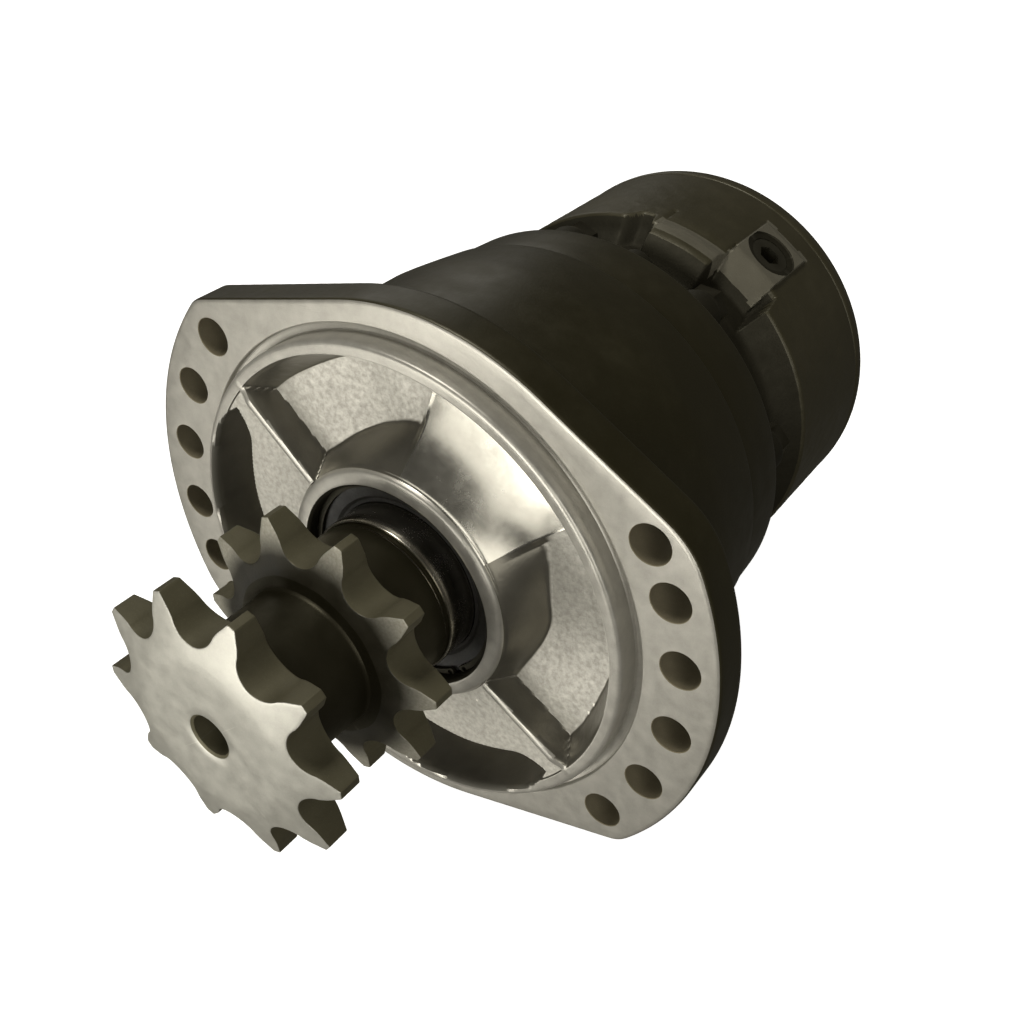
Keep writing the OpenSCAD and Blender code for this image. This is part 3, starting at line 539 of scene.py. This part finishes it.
def front_housing():
    C = 960
    th = np.linspace(0, 360, C, endpoint=False)
    phi = wrap(th - 55.0)
    c, s = np.cos(np.radians(th)), np.sin(np.radians(th))
    ro = outline_radius(th)
    rows = []

    def row(r, y, m):
        rows.append((np.zeros(C) + r, np.zeros(C) + y, np.zeros(C, int) + m))

    # bore from the rear to the rim; its front rows, index 4, are painted near-black as shade in the recess
    for r, y in ((69, 108.6), (69, 100.5), (64, 100.5), (64, 66.5), (62, 66.5), (62, 16.5), (50, 16.5), (50, 9), (BORE_R, 9), (BORE_R, 4), (BORE_R, -2.8), (48.1, -2.8), (48.1, -4.6), (BORE_R, -4.6), (BORE_R, -9.0), (47.1, -9.45), (47.85, -10.15), (48.25, -10.3)):
        row(r, y, 4 if r < 64 and y < 10 and (r, y) != (48.25, -10.3) else 0)
    for r, y in ((49.2, -10.3), (50.2, -10.27), (51.2, -10.2), (52.2, -10.08), (53.1, -9.9), (53.8, -9.65), (54.3, -9.2), (54.55, -8.6)):
        row(r, y, 0)
    rough = []
    for r in np.concatenate([np.arange(54.75, 60, 0.4), np.arange(60, 95, 0.6), np.arange(95, 104.2, 0.35), [104.8, 105.8, 106.8]]):
        y, inside, sm, slot = casting_front(r, phi)
        p = np.stack([r * c, y, r * s], -1)
        cone = 1 - smooth(r, 66.0, 72.0)
        rough_part = inside * (1 - sm) * (1 - 0.9 * slot) * (1 - cone)
        y = y + rough_part * (0.13 * noise3(p, 3.1, 1) + 0.07 * noise3(p, 1.4, 2)) + inside * 0.02 * noise3(p, 12.0, 3)
        m = np.where(sm > 0.8, 2, 1)
        if r > 103.4:
            m = np.where(y < -7.6, 0, m)
        elif r > 55.2:
            u = r * np.sin(np.radians(np.abs(phi + 180 / C) - 86.6))
            m = np.where((np.abs(u) < 1.75) & (y < -7.7), 0, m)
        rows.append((np.zeros(C) + r, y, m))
    for r, y in ((107.3, -8.2), (107.9, -8.05), (108.5, -7.4), (PILOT_R, -6.7), (PILOT_R, -3.5), (PILOT_R, 0), (PILOT_R, 2.2), (109.4, 2.9), (110.2, 3.0), (112.0, 3.0), (112.8, 2.6), (113.0, 2.0), (113.0, 0.35), (113.35, 0.0)):
        row(r, y, 0)
    for f in (0.15, 0.4, 0.7, 1.0):
        row(113.35 + (ro - 2.2 - 113.35) * f, 0.0, 0)
    for d, y in ((1.3, 0.12), (0.6, 0.5), (0.12, 1.3), (0.0, 2.2)):
        row(ro - d, y, 0 if y < 0.3 else 3)
    for y in (6, 11, 15.4, 16.6):
        row(ro, y, 3)
    row(ro - 0.4, 17.4, 3)
    row(ro - 1.3, 17.7, 3)
    for f in (0.5, 1.0):
        row(ro - 1.3 + (114.5 - ro + 1.3) * f, 17.7, 3)
    for r, y in ((112.6, 18.2), (111.2, 19.2), (110.3, 20.8), (110, 22.6)):
        row(r, y, 3)
    for y in np.linspace(27, 75, 10):
        row(110, y, 3)
    for f in np.linspace(0.12, 1, 8):
        row(110 + (END_R - 110) * f**1.15, 75 + (107.2 - 75) * f, 3)
    for r, y in ((106.35, 107.9), (105.8, 108.45), (105.2, 108.6)):
        row(r, y, 3)
    row(88, 108.6, 0)
    row(83.3, 108.6, 0)
    row(83.3, 106.6, 0)
    row(81.2, 106.6, 0)
    row(81.2, 108.6, 0)
    R = np.array([q[0] for q in rows])
    Y = np.array([q[1] for q in rows])
    M = np.array([q[2] for q in rows])
    o = lathe_grid("front_housing_casting", R * c, Y, R * s, list(M_BARE), cell_mat=M, sharp=38.0)
    # drain boss
    boss = cylinder_at("boss", rad(250) * 96 + [0, 60, 0], rad(250), [(15.6, 0), (15.4, 13.0), (14.6, 14.4), (14.0, 15.2), (13.2, 15.5)], [M_PAINT], 64)
    boolean(o, [boss], "UNION")
    cut = []
    # The flange holes are lined with the lighter hole wall, painted light.
    for h in (0, 180):
        for a in HOLES:
            cut.append(cylinder_at("hole", rad(a + h) * 129 + [0, -1, 0], (0, 1, 0), [(9.75, 0), (8.5, 1.25), (8.5, 18.45), (9.75, 19.7)], [M_HOLE_LIT], 72))
    for a in BOLTS:
        cut.append(cylinder_at("hole", rad(a) * 90 + [0, 76, 0], (0, 1, 0), [(6.1, 0), (6.1, 34)], [M_FACE], 24))
    for a in PINS:
        cut.append(cylinder_at("hole", rad(a) * 90 + [0, 98, 0], (0, 1, 0), [(4.0, 0), (4.0, 12)], [M_FACE], 24))
    cut.append(cylinder_at("hole", rad(250) * 60 + [0, 60, 0], rad(250), [(5.0, 0), (5.0, 36), (9.1, 36), (9.1, 60)], [M_FACE], 48))
    boolean(o, [together(cut)])
    finish_shading(o, 38.0)
    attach(o, "housing")
    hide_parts("front_housing")
    return o


# ------------------------------------------------------------------ shaft with its two rows of teeth
SHAFT_FRONT, ROW_W, ROW_GAP, TIP_R, SEAT_R, TOOTH_A = -113.8, 19.7, 52.6, 58.5, 10.4, 112.6
ROOT_R = 31.75 / (2 * math.sin(math.pi / 10)) - 9.5


def tooth_outline():
    """Closed outline of the ten teeth, with the outward direction at every point."""
    cx = ROOT_R + SEAT_R
    half = [(cx + SEAT_R * math.cos(math.radians(a)), SEAT_R * math.sin(math.radians(a))) for a in np.linspace(180, 110.4, 17)]
    corners = [(ROOT_R + 6.8, 9.75), (ROOT_R + 9.4, 11.6), (ROOT_R + 14.3, 16.4)]
    for t in (0.35, 0.7):
        half.append(tuple(corners[0][k] + (corners[1][k] - corners[0][k]) * t for k in (0, 1)))
    for t in np.linspace(0.06, 0.96, 8):
        half.append(tuple(corners[1][k] + (corners[2][k] - corners[1][k]) * t for k in (0, 1)))
    half = [(math.hypot(*q), math.degrees(math.atan2(q[1], q[0]))) for q in half]
    half = [(min(r, TIP_R - 0.15), a) for r, a in half]
    half += [(TIP_R, a) for a in (16.45, 17.0, 17.5)]
    one = [(r, -a) for r, a in reversed(half[1:])] + half + [(TIP_R, 18.0)]
    pts = []
    for i in range(10):
        for r, a in one:
            pts.append((r, TOOTH_A - 18 + 36 * i + a))
    r = np.array([q[0] for q in pts])
    a = np.radians([q[1] for q in pts])
    x, z = r * np.cos(a), r * np.sin(a)
    dx, dz = np.roll(x, -1) - np.roll(x, 1), np.roll(z, -1) - np.roll(z, 1)
    n = np.hypot(dx, dz)
    return x, z, dz / n, -dx / n


def output_shaft():
    x, z, nx, nz = tooth_outline()
    C = len(x)
    ro = np.hypot(x, z)
    ux, uz = x / ro, z / ro
    ang = np.degrees(np.arctan2(z, x))
    rows = []

    def ring(r, y, m):
        rows.append((ux * r, np.zeros(C) + y, uz * r, m))

    def cone(r):
        """Bevel of the rows' faces, which starts softly."""
        return 5.0 / (TIP_R - 35.6) * np.where(np.asarray(r) > 41.0, r - 35.6, np.maximum(0, np.asarray(r) - 30.2) ** 2 / 21.6)

    def edge(inset, y0, sgn, add, m):
        px, pz = x - nx * inset, z - nz * inset
        rows.append((px, y0 + sgn * (cone(np.hypot(px, pz)) + add), pz, m))

    def between(f, y0, sgn, m):
        px, pz = (x - nx * 0.6) * f + ux * 35.6 * (1 - f), (z - nz * 0.6) * f + uz * 35.6 * (1 - f)
        rows.append((px, y0 + sgn * cone(np.hypot(px, pz)), pz, m))

    def teeth_row(y0, front, back):
        for f in (0.02, 0.25, 0.5, 0.75, 0.9):
            between(f, y0, 1, front)
        edge(0.6, y0, 1, 0.0, front)
        edge(0.18, y0, 1, 0.06, front)
        edge(0.04, y0, 1, 0.22, 1)
        edge(0.0, y0, 1, 0.6, 1)
        ya, yb = y0 + cone(ro) + 0.6, y0 + ROW_W - cone(ro) - 0.6
        for f in (0.25, 0.5, 0.75):
            rows.append((x, ya + (yb - ya) * f, z, 1))
        e = y0 + ROW_W
        edge(0.0, e, -1, 0.6, 1)
        edge(0.04, e, -1, 0.22, 1)
        edge(0.18, e, -1, 0.06, back)
        edge(0.6, e, -1, 0.0, back)
        for f in (0.9, 0.75, 0.5, 0.25, 0.02):
            between(f, e, -1, back)

    y0, y1 = SHAFT_FRONT, SHAFT_FRONT + ROW_GAP
    ring(0.6, y0 + 26.5, 1)
    ring(8.8, y0 + 24, 1)
    ring(8.8, y0 + 12, 1)
    ring(8.8, y0 + 0.9, 1)
    ring(9.7, y0 + 0.1, 0)
    ring(9.95, y0, 0)
    for r in (14, 19, 24, 29, 31, 33, 35.4):
        ring(r, y0 + float(cone(r)), 0)
    teeth_row(y0, 0, 1)
    # Index 5 paints the neck between and behind the rows near-black, partly as painted shade.
    for r, y in ((35.4, y0 + ROW_W - float(cone(35.4))), (32.5, y0 + ROW_W), (31.2, y0 + ROW_W + 0.4), (30.6, y0 + ROW_W + 1.2), (30.5, y0 + ROW_W + 2.2), (30.5, y0 + 36), (30.5, y1 - 2.2), (30.6, y1 - 1.2), (31.2, y1 - 0.4), (32.5, y1), (35.4, y1 + float(cone(35.4)))):
        ring(r, y, 5)
    teeth_row(y1, 4, 1)
    e = y1 + ROW_W
    for r, y, m in ((35.4, e - float(cone(35.4)), 5), (35.15, e + 0.15, 5), (35, e + 0.6, 5), (35, -34, 5), (35, -27, 5), (35, -20.1, 2), (34.85, -19.7, 2), (34.5, -19.1, 5), (34.4, -18.8, 5), (34.4, -17.4, 5), (35.3, -17.4, 2), (35.8, -17.15, 2), (36, -16.7, 2)):
        ring(r, y, m)
    for y in (-12, -6, 0, 6, 9.5):
        ring(36, y, 2)
    for r, y in ((38.4, 9.5), (38.9, 9.7), (39.8, 10.6), (40, 11.1), (40, 14.7), (39.7, 15.4), (39, 16), (38, 16), (38, 35), (38, 53.6), (37.6, 54), (36, 54), (36, 75), (36, 91.6), (35.6, 92), (34, 92), (34, 98), (34, 103.4), (33.4, 104)):
        ring(r, y, 2)
    k = np.abs(wrap(ang * 18) / 360.0)
    sp = np.interp(k, [0, 0.16, 0.25, 0.5], [30, 30, 27, 27])
    for d, y in ((0, 104), (0, 110), (0, 116), (0, 121.9), (0.6, 122.5)):
        rows.append((ux * (sp - d), np.zeros(C) + y, uz * (sp - d), 2))
    ring(10, 122.5, 2)
    X, Y, Z = (np.array([q[k] for q in rows]) for k in (0, 1, 2))
    # the outline runs from +X towards +Z, as the columns of a ring body do, and the rows go from the nose to the tail
    o = lathe_grid("output_shaft_with_sprockets", X, Y, Z, [M_SPROCKET, M_FLANK, M_SHAFT, M_FACE, M_ROW_FACE_SHADE, M_DARK_SHAFT_SHADE], row_mat=[q[3] for q in rows], sharp=32.0, closed=False)
    key = bpy.data.meshes.new("key")
    v = [(a * MM, b * MM, c * MM) for a in (-3, 3) for b in (88, 104.5) for c in (31, 39)]
    key.from_pydata(v, [], [(0, 1, 3, 2), (4, 6, 7, 5), (0, 4, 5, 1), (2, 3, 7, 6), (0, 2, 6, 4), (1, 5, 7, 3)])
    key.materials.append(M_SHAFT)
    ko = bpy.data.objects.new("key", key)
    scene.collection.objects.link(ko)
    boolean(o, [ko])
    finish_shading(o, 32.0)
    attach(o, "rotor")
    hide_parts("output_shaft")
    return o


# ------------------------------------------------------------------ cam ring, rear housing and cover
def cam_ring():
    C = 720
    th = np.linspace(0, 2 * math.pi, C, endpoint=False)
    cam = 77 + 4 * np.cos(6 * th)
    rows = [(cam, 139), (cam, 131), (cam, 122), (cam, 114), (cam, 108.6), (cam + 5, 108.6)]
    rows += [(np.zeros(C) + r, y) for r, y in ((98, 108.6), (103.7, 108.6), (104.4, 108.85), (104.9, 109.5), (105, 110.2), (104.6, 118), (104.1, 127), (103.6, 136.2), (103.3, 137.4), (102.6, 138.4), (101.6, 139), (90, 139))]
    R = np.array([q[0] for q in rows])
    Y = np.array([q[1] + np.zeros(C) for q in rows])
    m = [0, 0, 0, 0, 0, 0, 0] + [1] * 8 + [0, 0, 0]
    o = lathe_grid("cam_ring_with_track", R * np.cos(th), Y, R * np.sin(th), [M_BEARING, M_PAINT], row_mat=m[: len(rows)], sharp=35.0)
    cut = [cylinder_at("hole", rad(a) * 90 + [0, 107, 0], (0, 1, 0), [(6.4, 0), (6.4, 34)], [M_BLOCK], 24) for a in BOLTS]
    cut += [cylinder_at("hole", rad(a) * 90 + [0, 107, 0], (0, 1, 0), [(4.0, 0), (4.0, 34)], [M_BLOCK], 24) for a in PINS]
    boolean(o, [together(cut)])
    finish_shading(o, 35.0)
    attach(o, "housing")
    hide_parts("cam_ring")
    return o


def rear_outer(th, y):
    """Outer radius of the rear housing at angles th in degrees and distance y behind the mounting face."""
    r = np.zeros_like(th)
    back = np.zeros_like(th)
    for p in (59.0, 239.0):
        d = wrap(th - p)
        back = back + 12.5 * smooth(d, -12.0, -10.2) * (1 - smooth(d, 7.5, 9.0)) + 7.0 * smooth(d, 30.5, 32.0) * (1 - smooth(d, 35.0, 40.0))
    yb = np.where(y > 172, np.maximum(172.0, y - back), y)
    r = curve(yb, [139, 146, 149.5, 152, 170, 173, 177, 180, 182.2, 185, 249], [85.6, 85.4, 83.6, 83, 83, 83.8, 87.2, 90.4, 93.6, 96.5, 96.5])
    # part marks the gallery and block cells that get the painted highlight.
    part = np.zeros(th.shape, bool)
    for p in (59.0, 239.0):
        d = wrap(th - p)
        # tube-like gallery that runs into the port boss
        h = max(0.0, 12.5**2 - (y - 181.0) ** 2)
        tube = 84.0 + math.sqrt(h) if y < 181 else 96.5 - 0.9 * math.exp(-((y - 191.0) / 3.2) ** 2)
        mask = smooth(d, 5.0, 9.0) * (1 - smooth(d, 28.2, 30.2))
        if 168 < y < 202:
            lift = (tube - 78.0) * mask + 78.0
            r = smax(r, lift, 1.2) if y < 185 else np.where(mask > 0.02, np.minimum(np.maximum(r - 0.9, lift), 96.5) * mask + r * (1 - mask), r)
        part = part | ((mask > 0.3) & (tube > r - 2.0) & (y < 191))
        # block round the port with a flat top and a sloping front
        flat = float(curve(y, [178, 183, 190, 196.3, 197.8, 198.6, 199.6, 231, 233, 236], [70, 79, 88.8, 96.0, 97.2, 97.55, 97.6, 97.6, 96.9, 93.5]))
        off = flat * np.tan(np.radians(np.clip(d, -60, 60)))
        inside = 1 - smooth(np.abs(off), 13.0, 14.4)
        pad = flat / np.cos(np.radians(np.clip(d, -60, 60)))
        lift = np.where(y > 202, (pad - 90) * inside + 90, pad * inside + 78 * (1 - inside))
        r = np.where(np.abs(d) < 60, smax(r, lift, 0.5), r)
        part = part | ((inside > 0.4) & (pad > r - 2.0))
    return r, part


def rear_housing():
    C = 900
    th = np.linspace(0, 360, C, endpoint=False)
    c, s = np.cos(np.radians(th)), np.sin(np.radians(th))
    rows = []

    def row(r, y, m=2):
        rows.append((np.zeros(C) + r, np.zeros(C) + y, np.zeros(C, int) + m))

    def lugs(grow=0.0):
        """Radius of the screw bosses round the joint face."""
        r = np.zeros(C) + 85.6
        for a, b in [(a, 11.5) for a in BOLTS] + [(a, 9.0) for a in PINS]:
            d = np.radians(wrap(th - a))
            q = (b + grow) ** 2 - (90 * np.sin(d)) ** 2
            r = np.maximum(r, np.where((q > 0) & (np.abs(d) < 0.5), 90 * np.cos(d) + np.sqrt(np.maximum(q, 0)), 0))
        return r

    full = lugs()
    for r, y in ((60.1, 150.2), (60.1, 148.0), (63, 148.0), (63, 144.5), (60.1, 144.5), (60.1, 139), (81.2, 139), (81.2, 141), (83.3, 141), (83.3, 139)):
        row(r, y, 0)
    # The lug and neck rows take the default index 2, the near-black painted shade.
    row(full - 0.8, 139)
    row(full - 0.2, 139.2)
    row(full, 139.8)
    row(full, 143)
    row(full, 146.0)
    row(full, 148.2)
    row(full - 0.2, 149.1)
    row(full - 0.8, 149.5)
    row(np.maximum(83.6, np.where(full > 86, full - 6, 83.6)), 149.5)
    row(83.4, 149.8)
    for y in np.concatenate([np.arange(151, 165, 2.2), np.arange(165, 203, 0.8), np.arange(203.5, 229, 2.5), [230.4, 231.3, 232.2, 233.2, 234.2, 235.4, 237, 241, 245, 246.6]]):
        r, part = rear_outer(th, float(y))
        p = np.stack([r * c, y + 0 * r, r * s], -1)
        skin = 0.12 * noise3(p, 4.0, 7) + 0.05 * noise3(p, 1.8, 8)
        # Cell finishes: index 1 is the drum's paint, index 2 near-black painted shade on the neck and the drum's front
        # slope, index 3 a painted highlight on the gallery tube and the port blocks.
        row(r + (skin if 150 < y < 231 else 0.3 * skin) - 0.15, float(y), np.where(part & (r > 87.0) & (y > 178), 3, np.where(r > 94.5, 1, 2)))
    row(96.3, 247.4, 1)
    row(95.7, 248, 0)
    for r, y in ((74.5, 248), (74.5, 222), (72, 222), (72, 184), (26, 184), (26, 174.5), (48.1, 174.5), (48.1, 161.2), (54.1, 161.2), (54.1, 158.5), (57, 158.5), (57, 155), (54.1, 155), (54.1, 150.2)):
        row(r, y, 0)
    R = np.array([q[0] for q in rows])
    Y = np.array([q[1] for q in rows])
    o = lathe_grid("rear_housing_casting", R * c, Y, R * s, [M_FACE, M_PAINT_REAR, M_PAINT_SHADE, M_PAINT_BOSS_HIGHLIGHT], cell_mat=np.array([q[2] for q in rows]), sharp=40.0)
    cut = []
    for a in BOLTS:
        cut.append(cylinder_at("hole", rad(a) * 90 + [0, 137, 0], (0, 1, 0), [(6.4, 0), (6.4, 20)], [M_FACE], 24))
    for a in PINS:
        cut.append(cylinder_at("hole", rad(a) * 90 + [0, 137, 0], (0, 1, 0), [(4.0, 0), (4.0, 9.5)], [M_FACE], 24))
    for i in range(8):
        cut.append(cylinder_at("hole", rad(22.5 + 45 * i) * 83.5 + [0, 226, 0], (0, 1, 0), [(4.1, 0), (4.1, 24)], [M_FACE], 24))
    # The ports are lined with the near-black painted shade.
    for p in (59.0, 239.0):
        cut.append(cylinder_at("port", rad(p) * 78 + [0, 215, 0], rad(p), [(5.0, 0), (5.0, 5), (10.1, 5), (10.1, 18.3), (13.0, 18.7), (13.6, 19.8), (16.0, 22.4)], [M_PAINT_SHADE], 72))
    for i in range(6):
        a = math.radians(30 + 60 * i)
        me = bpy.data.meshes.new("slot")
        e, t = np.array([math.cos(a), 0, math.sin(a)]), np.array([-math.sin(a), 0, math.cos(a)])
        v = [tuple((e * q + t * w + np.array([0, y, 0])) * MM) for q in (69, 75) for y in (184.01, 210) for w in (-6, 6)]
        me.from_pydata(v, [], [(0, 1, 3, 2), (4, 6, 7, 5), (0, 4, 5, 1), (2, 3, 7, 6), (0, 2, 6, 4), (1, 5, 7, 3)])
        me.materials.append(M_FACE)
        so = bpy.data.objects.new("slot", me)
        scene.collection.objects.link(so)
        cut.append(so)
    boolean(o, [together(cut)])
    finish_shading(o, 40.0)
    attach(o, "housing")
    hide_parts("rear_housing")
    return o


def rear_cover():
    pts = [(71.5, 245), (71.5, 247.7), (74.4, 247.7), (74.4, 248.02), (95.2, 248.02), (95.7, 248.15), (96.2, 248.5), (96.5, 249.1), (96.5, 251.4), (96.35, 252.9), (96.0, 254.6), (95.4, 256.5), (94.6, 258.3), (93.6, 259.8), (92.7, 260.6), (91.6, 261), (84, 261), (75, 261), (66.6, 261), (66, 260.8), (65.3, 260.3), (62.7, 258.8), (62.1, 258.55), (61.4, 258.5), (50, 258.5), (38, 258.5), (20, 258.5), (6, 258.5), (6, 251), (36, 251), (36, 245)]
    a = np.linspace(0, 2 * math.pi, 360, endpoint=False)
    # solid disc: the outline starts and ends on the axis
    line = [(2.0, 251)] + [(36, 251), (36, 245)] + pts[:-3][0:]
    line[-1] = (2.0, 258.5)
    r = np.array([q[0] for q in line], float)
    y = np.array([q[1] for q in line], float)
    mats = []
    for k in range(len(line)):
        mats.append(0 if 0 < k < 7 else 1)
    o = lathe_grid("rear_cover_plate", r[:, None] * np.cos(a), y[:, None] + 0 * a[None, :], r[:, None] * np.sin(a), [M_FACE, M_PAINT_REAR, M_PAINT_SHADE], row_mat=mats, sharp=35.0, closed=False)
    cut = []
    # The screw counterbores and the port are lined with the near-black painted shade.
    for i in range(8):
        b = rad(22.5 + 45 * i) * 83.5
        cut.append(cylinder_at("hole", b + [0, 246, 0], (0, 1, 0), [(4.4, 0), (4.4, 6.4), (6.9, 6.4), (6.9, 14.6), (8.3, 16.0)], [M_PAINT_SHADE], 48))
    cut.append(cylinder_at("port", rad(90) * 50 + [0, 243, 0], (0, 1, 0), [(3.0, 0), (3.0, 6), (7.1, 6), (7.1, 15.0), (8.7, 16.6)], [M_PAINT_SHADE], 48))
    boolean(o, [together(cut)])
    finish_shading(o, 35.0)
    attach(o, "housing")
    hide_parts("rear_cover")
    return o


front_housing()
output_shaft()
cam_ring()
rear_housing()
rear_cover()

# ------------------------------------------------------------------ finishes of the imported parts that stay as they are
FINISH = {
    "seal_rubber": M_RUBBER,
    "bearing_steel": M_BEARING,
    "cage_steel": M_CAGE,
    "block_iron": M_BLOCK,
    "bolt_steel": M_BOLT,
    "plug_steel": M_BOLT,
    "spring_steel": M_SPRING,
    "brake_lining": M_LINING,
    "machined_iron": M_FACE,
    "shaft_steel": M_SHAFT,
    "black_paint": M_PAINT,
}
for part in frame["record"]["subparts"]:
    node = frame["nodes"][part["node"]]
    node.data.materials.clear()
    node.data.materials.append(FINISH[part["material_slot"]])
    finish_shading(node, 32.0)
# The seal's retaining ring gets the bore's near-black painted shade.
frame["nodes"]["seal_retaining_ring"].data.materials[0] = M_BORE_SHADE

# ------------------------------------------------------------------ floor, light and camera
def plain(name, colour, rough):
    n = Nodes(name)
    a = n.noise(9.0, 4.0)
    return n.out(n.mix(n.span(a, 0.3, 0.7, 0.0, 1.0), colour, tuple(min(1.0, c * 1.01) for c in colour)), rough)


low = SIZE_CAD[0][2]
fm = bpy.data.meshes.new("floor")
fm.from_pydata([(x, y, low) for x, y in ((-40, -40), (40, -40), (40, 40), (-40, 40))], [], [(0, 1, 2, 3)])
fm.materials.append(plain("pale_floor", (0.93, 0.93, 0.92), 0.9))
floor = bpy.data.objects.new("floor", fm)
scene.collection.objects.link(floor)
fn = fm.materials[0].node_tree
fb = next(n for n in fn.nodes if n.type == "BSDF_PRINCIPLED")
fb.inputs["Emission Color"].default_value = (1, 1, 0.99, 1)
fb.inputs["Emission Strength"].default_value = 0.9
floor.visible_diffuse = False
floor.visible_glossy = False
floor.visible_transmission = False
floor.visible_shadow = False

world = bpy.data.worlds.new("studio")
scene.world = world
world.use_nodes = True
wt = world.node_tree
wt.nodes.clear()
wo = wt.nodes.new("ShaderNodeOutputWorld")
seen = wt.nodes.new("ShaderNodeBackground")
seen.inputs[0].default_value = (1, 1, 1, 1)
seen.inputs[1].default_value = 1.1
fill = wt.nodes.new("ShaderNodeBackground")
fill.inputs[0].default_value = (1.0, 0.96, 0.84, 1)
fill.inputs[1].default_value = 0.07
lp = wt.nodes.new("ShaderNodeLightPath")
mx = wt.nodes.new("ShaderNodeMixShader")
wt.links.new(lp.outputs["Is Camera Ray"], mx.inputs[0])
wt.links.new(fill.outputs[0], mx.inputs[1])
wt.links.new(seen.outputs[0], mx.inputs[2])
wt.links.new(mx.outputs[0], wo.inputs[0])

scene.view_settings.view_transform = "Standard"
scene.view_settings.look = "None"
scene.view_settings.exposure = 0.0
scene.view_settings.gamma = 1.0


def softbox(name, place, target, w, h, power, colour=(1, 1, 1), spread=180.0):
    l = bpy.data.lights.new(name, "AREA")
    l.shape = "RECTANGLE"
    l.size, l.size_y = w, h
    l.energy = power
    l.color = colour
    l.spread = math.radians(spread)
    o = bpy.data.objects.new(name, l)
    scene.collection.objects.link(o)
    d = (Vector(place) - Vector(target)).normalized()
    o.location = place
    o.rotation_euler = d.to_track_quat("Z", "Y").to_euler()
    return o


WARM = (1.0, 0.975, 0.91)
softbox("key", (-0.32, -1.6, -0.22), (0, 0, 0), 1.25, 0.85, 18, WARM)
softbox("patch", (-0.06, -1.65, 0.36), (0, 0, 0), 1.5, 0.85, 8.5, WARM)
softbox("sweep", (-0.70, -1.25, -0.76), (0, 0, 0), 0.7, 0.55, 4.4, WARM)
softbox("right", (1.25, -0.95, 0.55), (0, 0.05, 0), 1.0, 1.0, 9, WARM)
softbox("back_left", (-1.25, 1.05, 0.85), (0, 0.1, 0), 1.1, 1.0, 2.4, WARM)
softbox("top", (-0.35, -0.2, 1.6), (0, 0.12, 0), 0.5, 0.5, 12, WARM)

az, el, roll = math.radians(32.87), math.radians(38.18), math.radians(3.15)
d = Vector((math.sin(az) * math.cos(el), -math.cos(az) * math.cos(el), math.sin(el)))
right = (-d).cross(Vector((0, 0, 1))).normalized()
up = right.cross(-d)
cr, sr = math.cos(roll), math.sin(roll)
rx, ux = right * cr + up * sr, up * cr - right * sr
cd = bpy.data.cameras.new("camera")
cam = bpy.data.objects.new("camera", cd)
scene.collection.objects.link(cam)
cam.matrix_world = Matrix(((rx.x, ux.x, d.x, 0.2483), (rx.y, ux.y, d.y, -0.3022), (rx.z, ux.z, d.z, 0.3314), (0, 0, 0, 1)))
cd.sensor_width = 36.0
cd.sensor_fit = "HORIZONTAL"
cd.lens = 42.57
cd.shift_x, cd.shift_y = -0.0047, 0.0202
cd.clip_start, cd.clip_end = 0.01, 200.0
scene.camera = cam
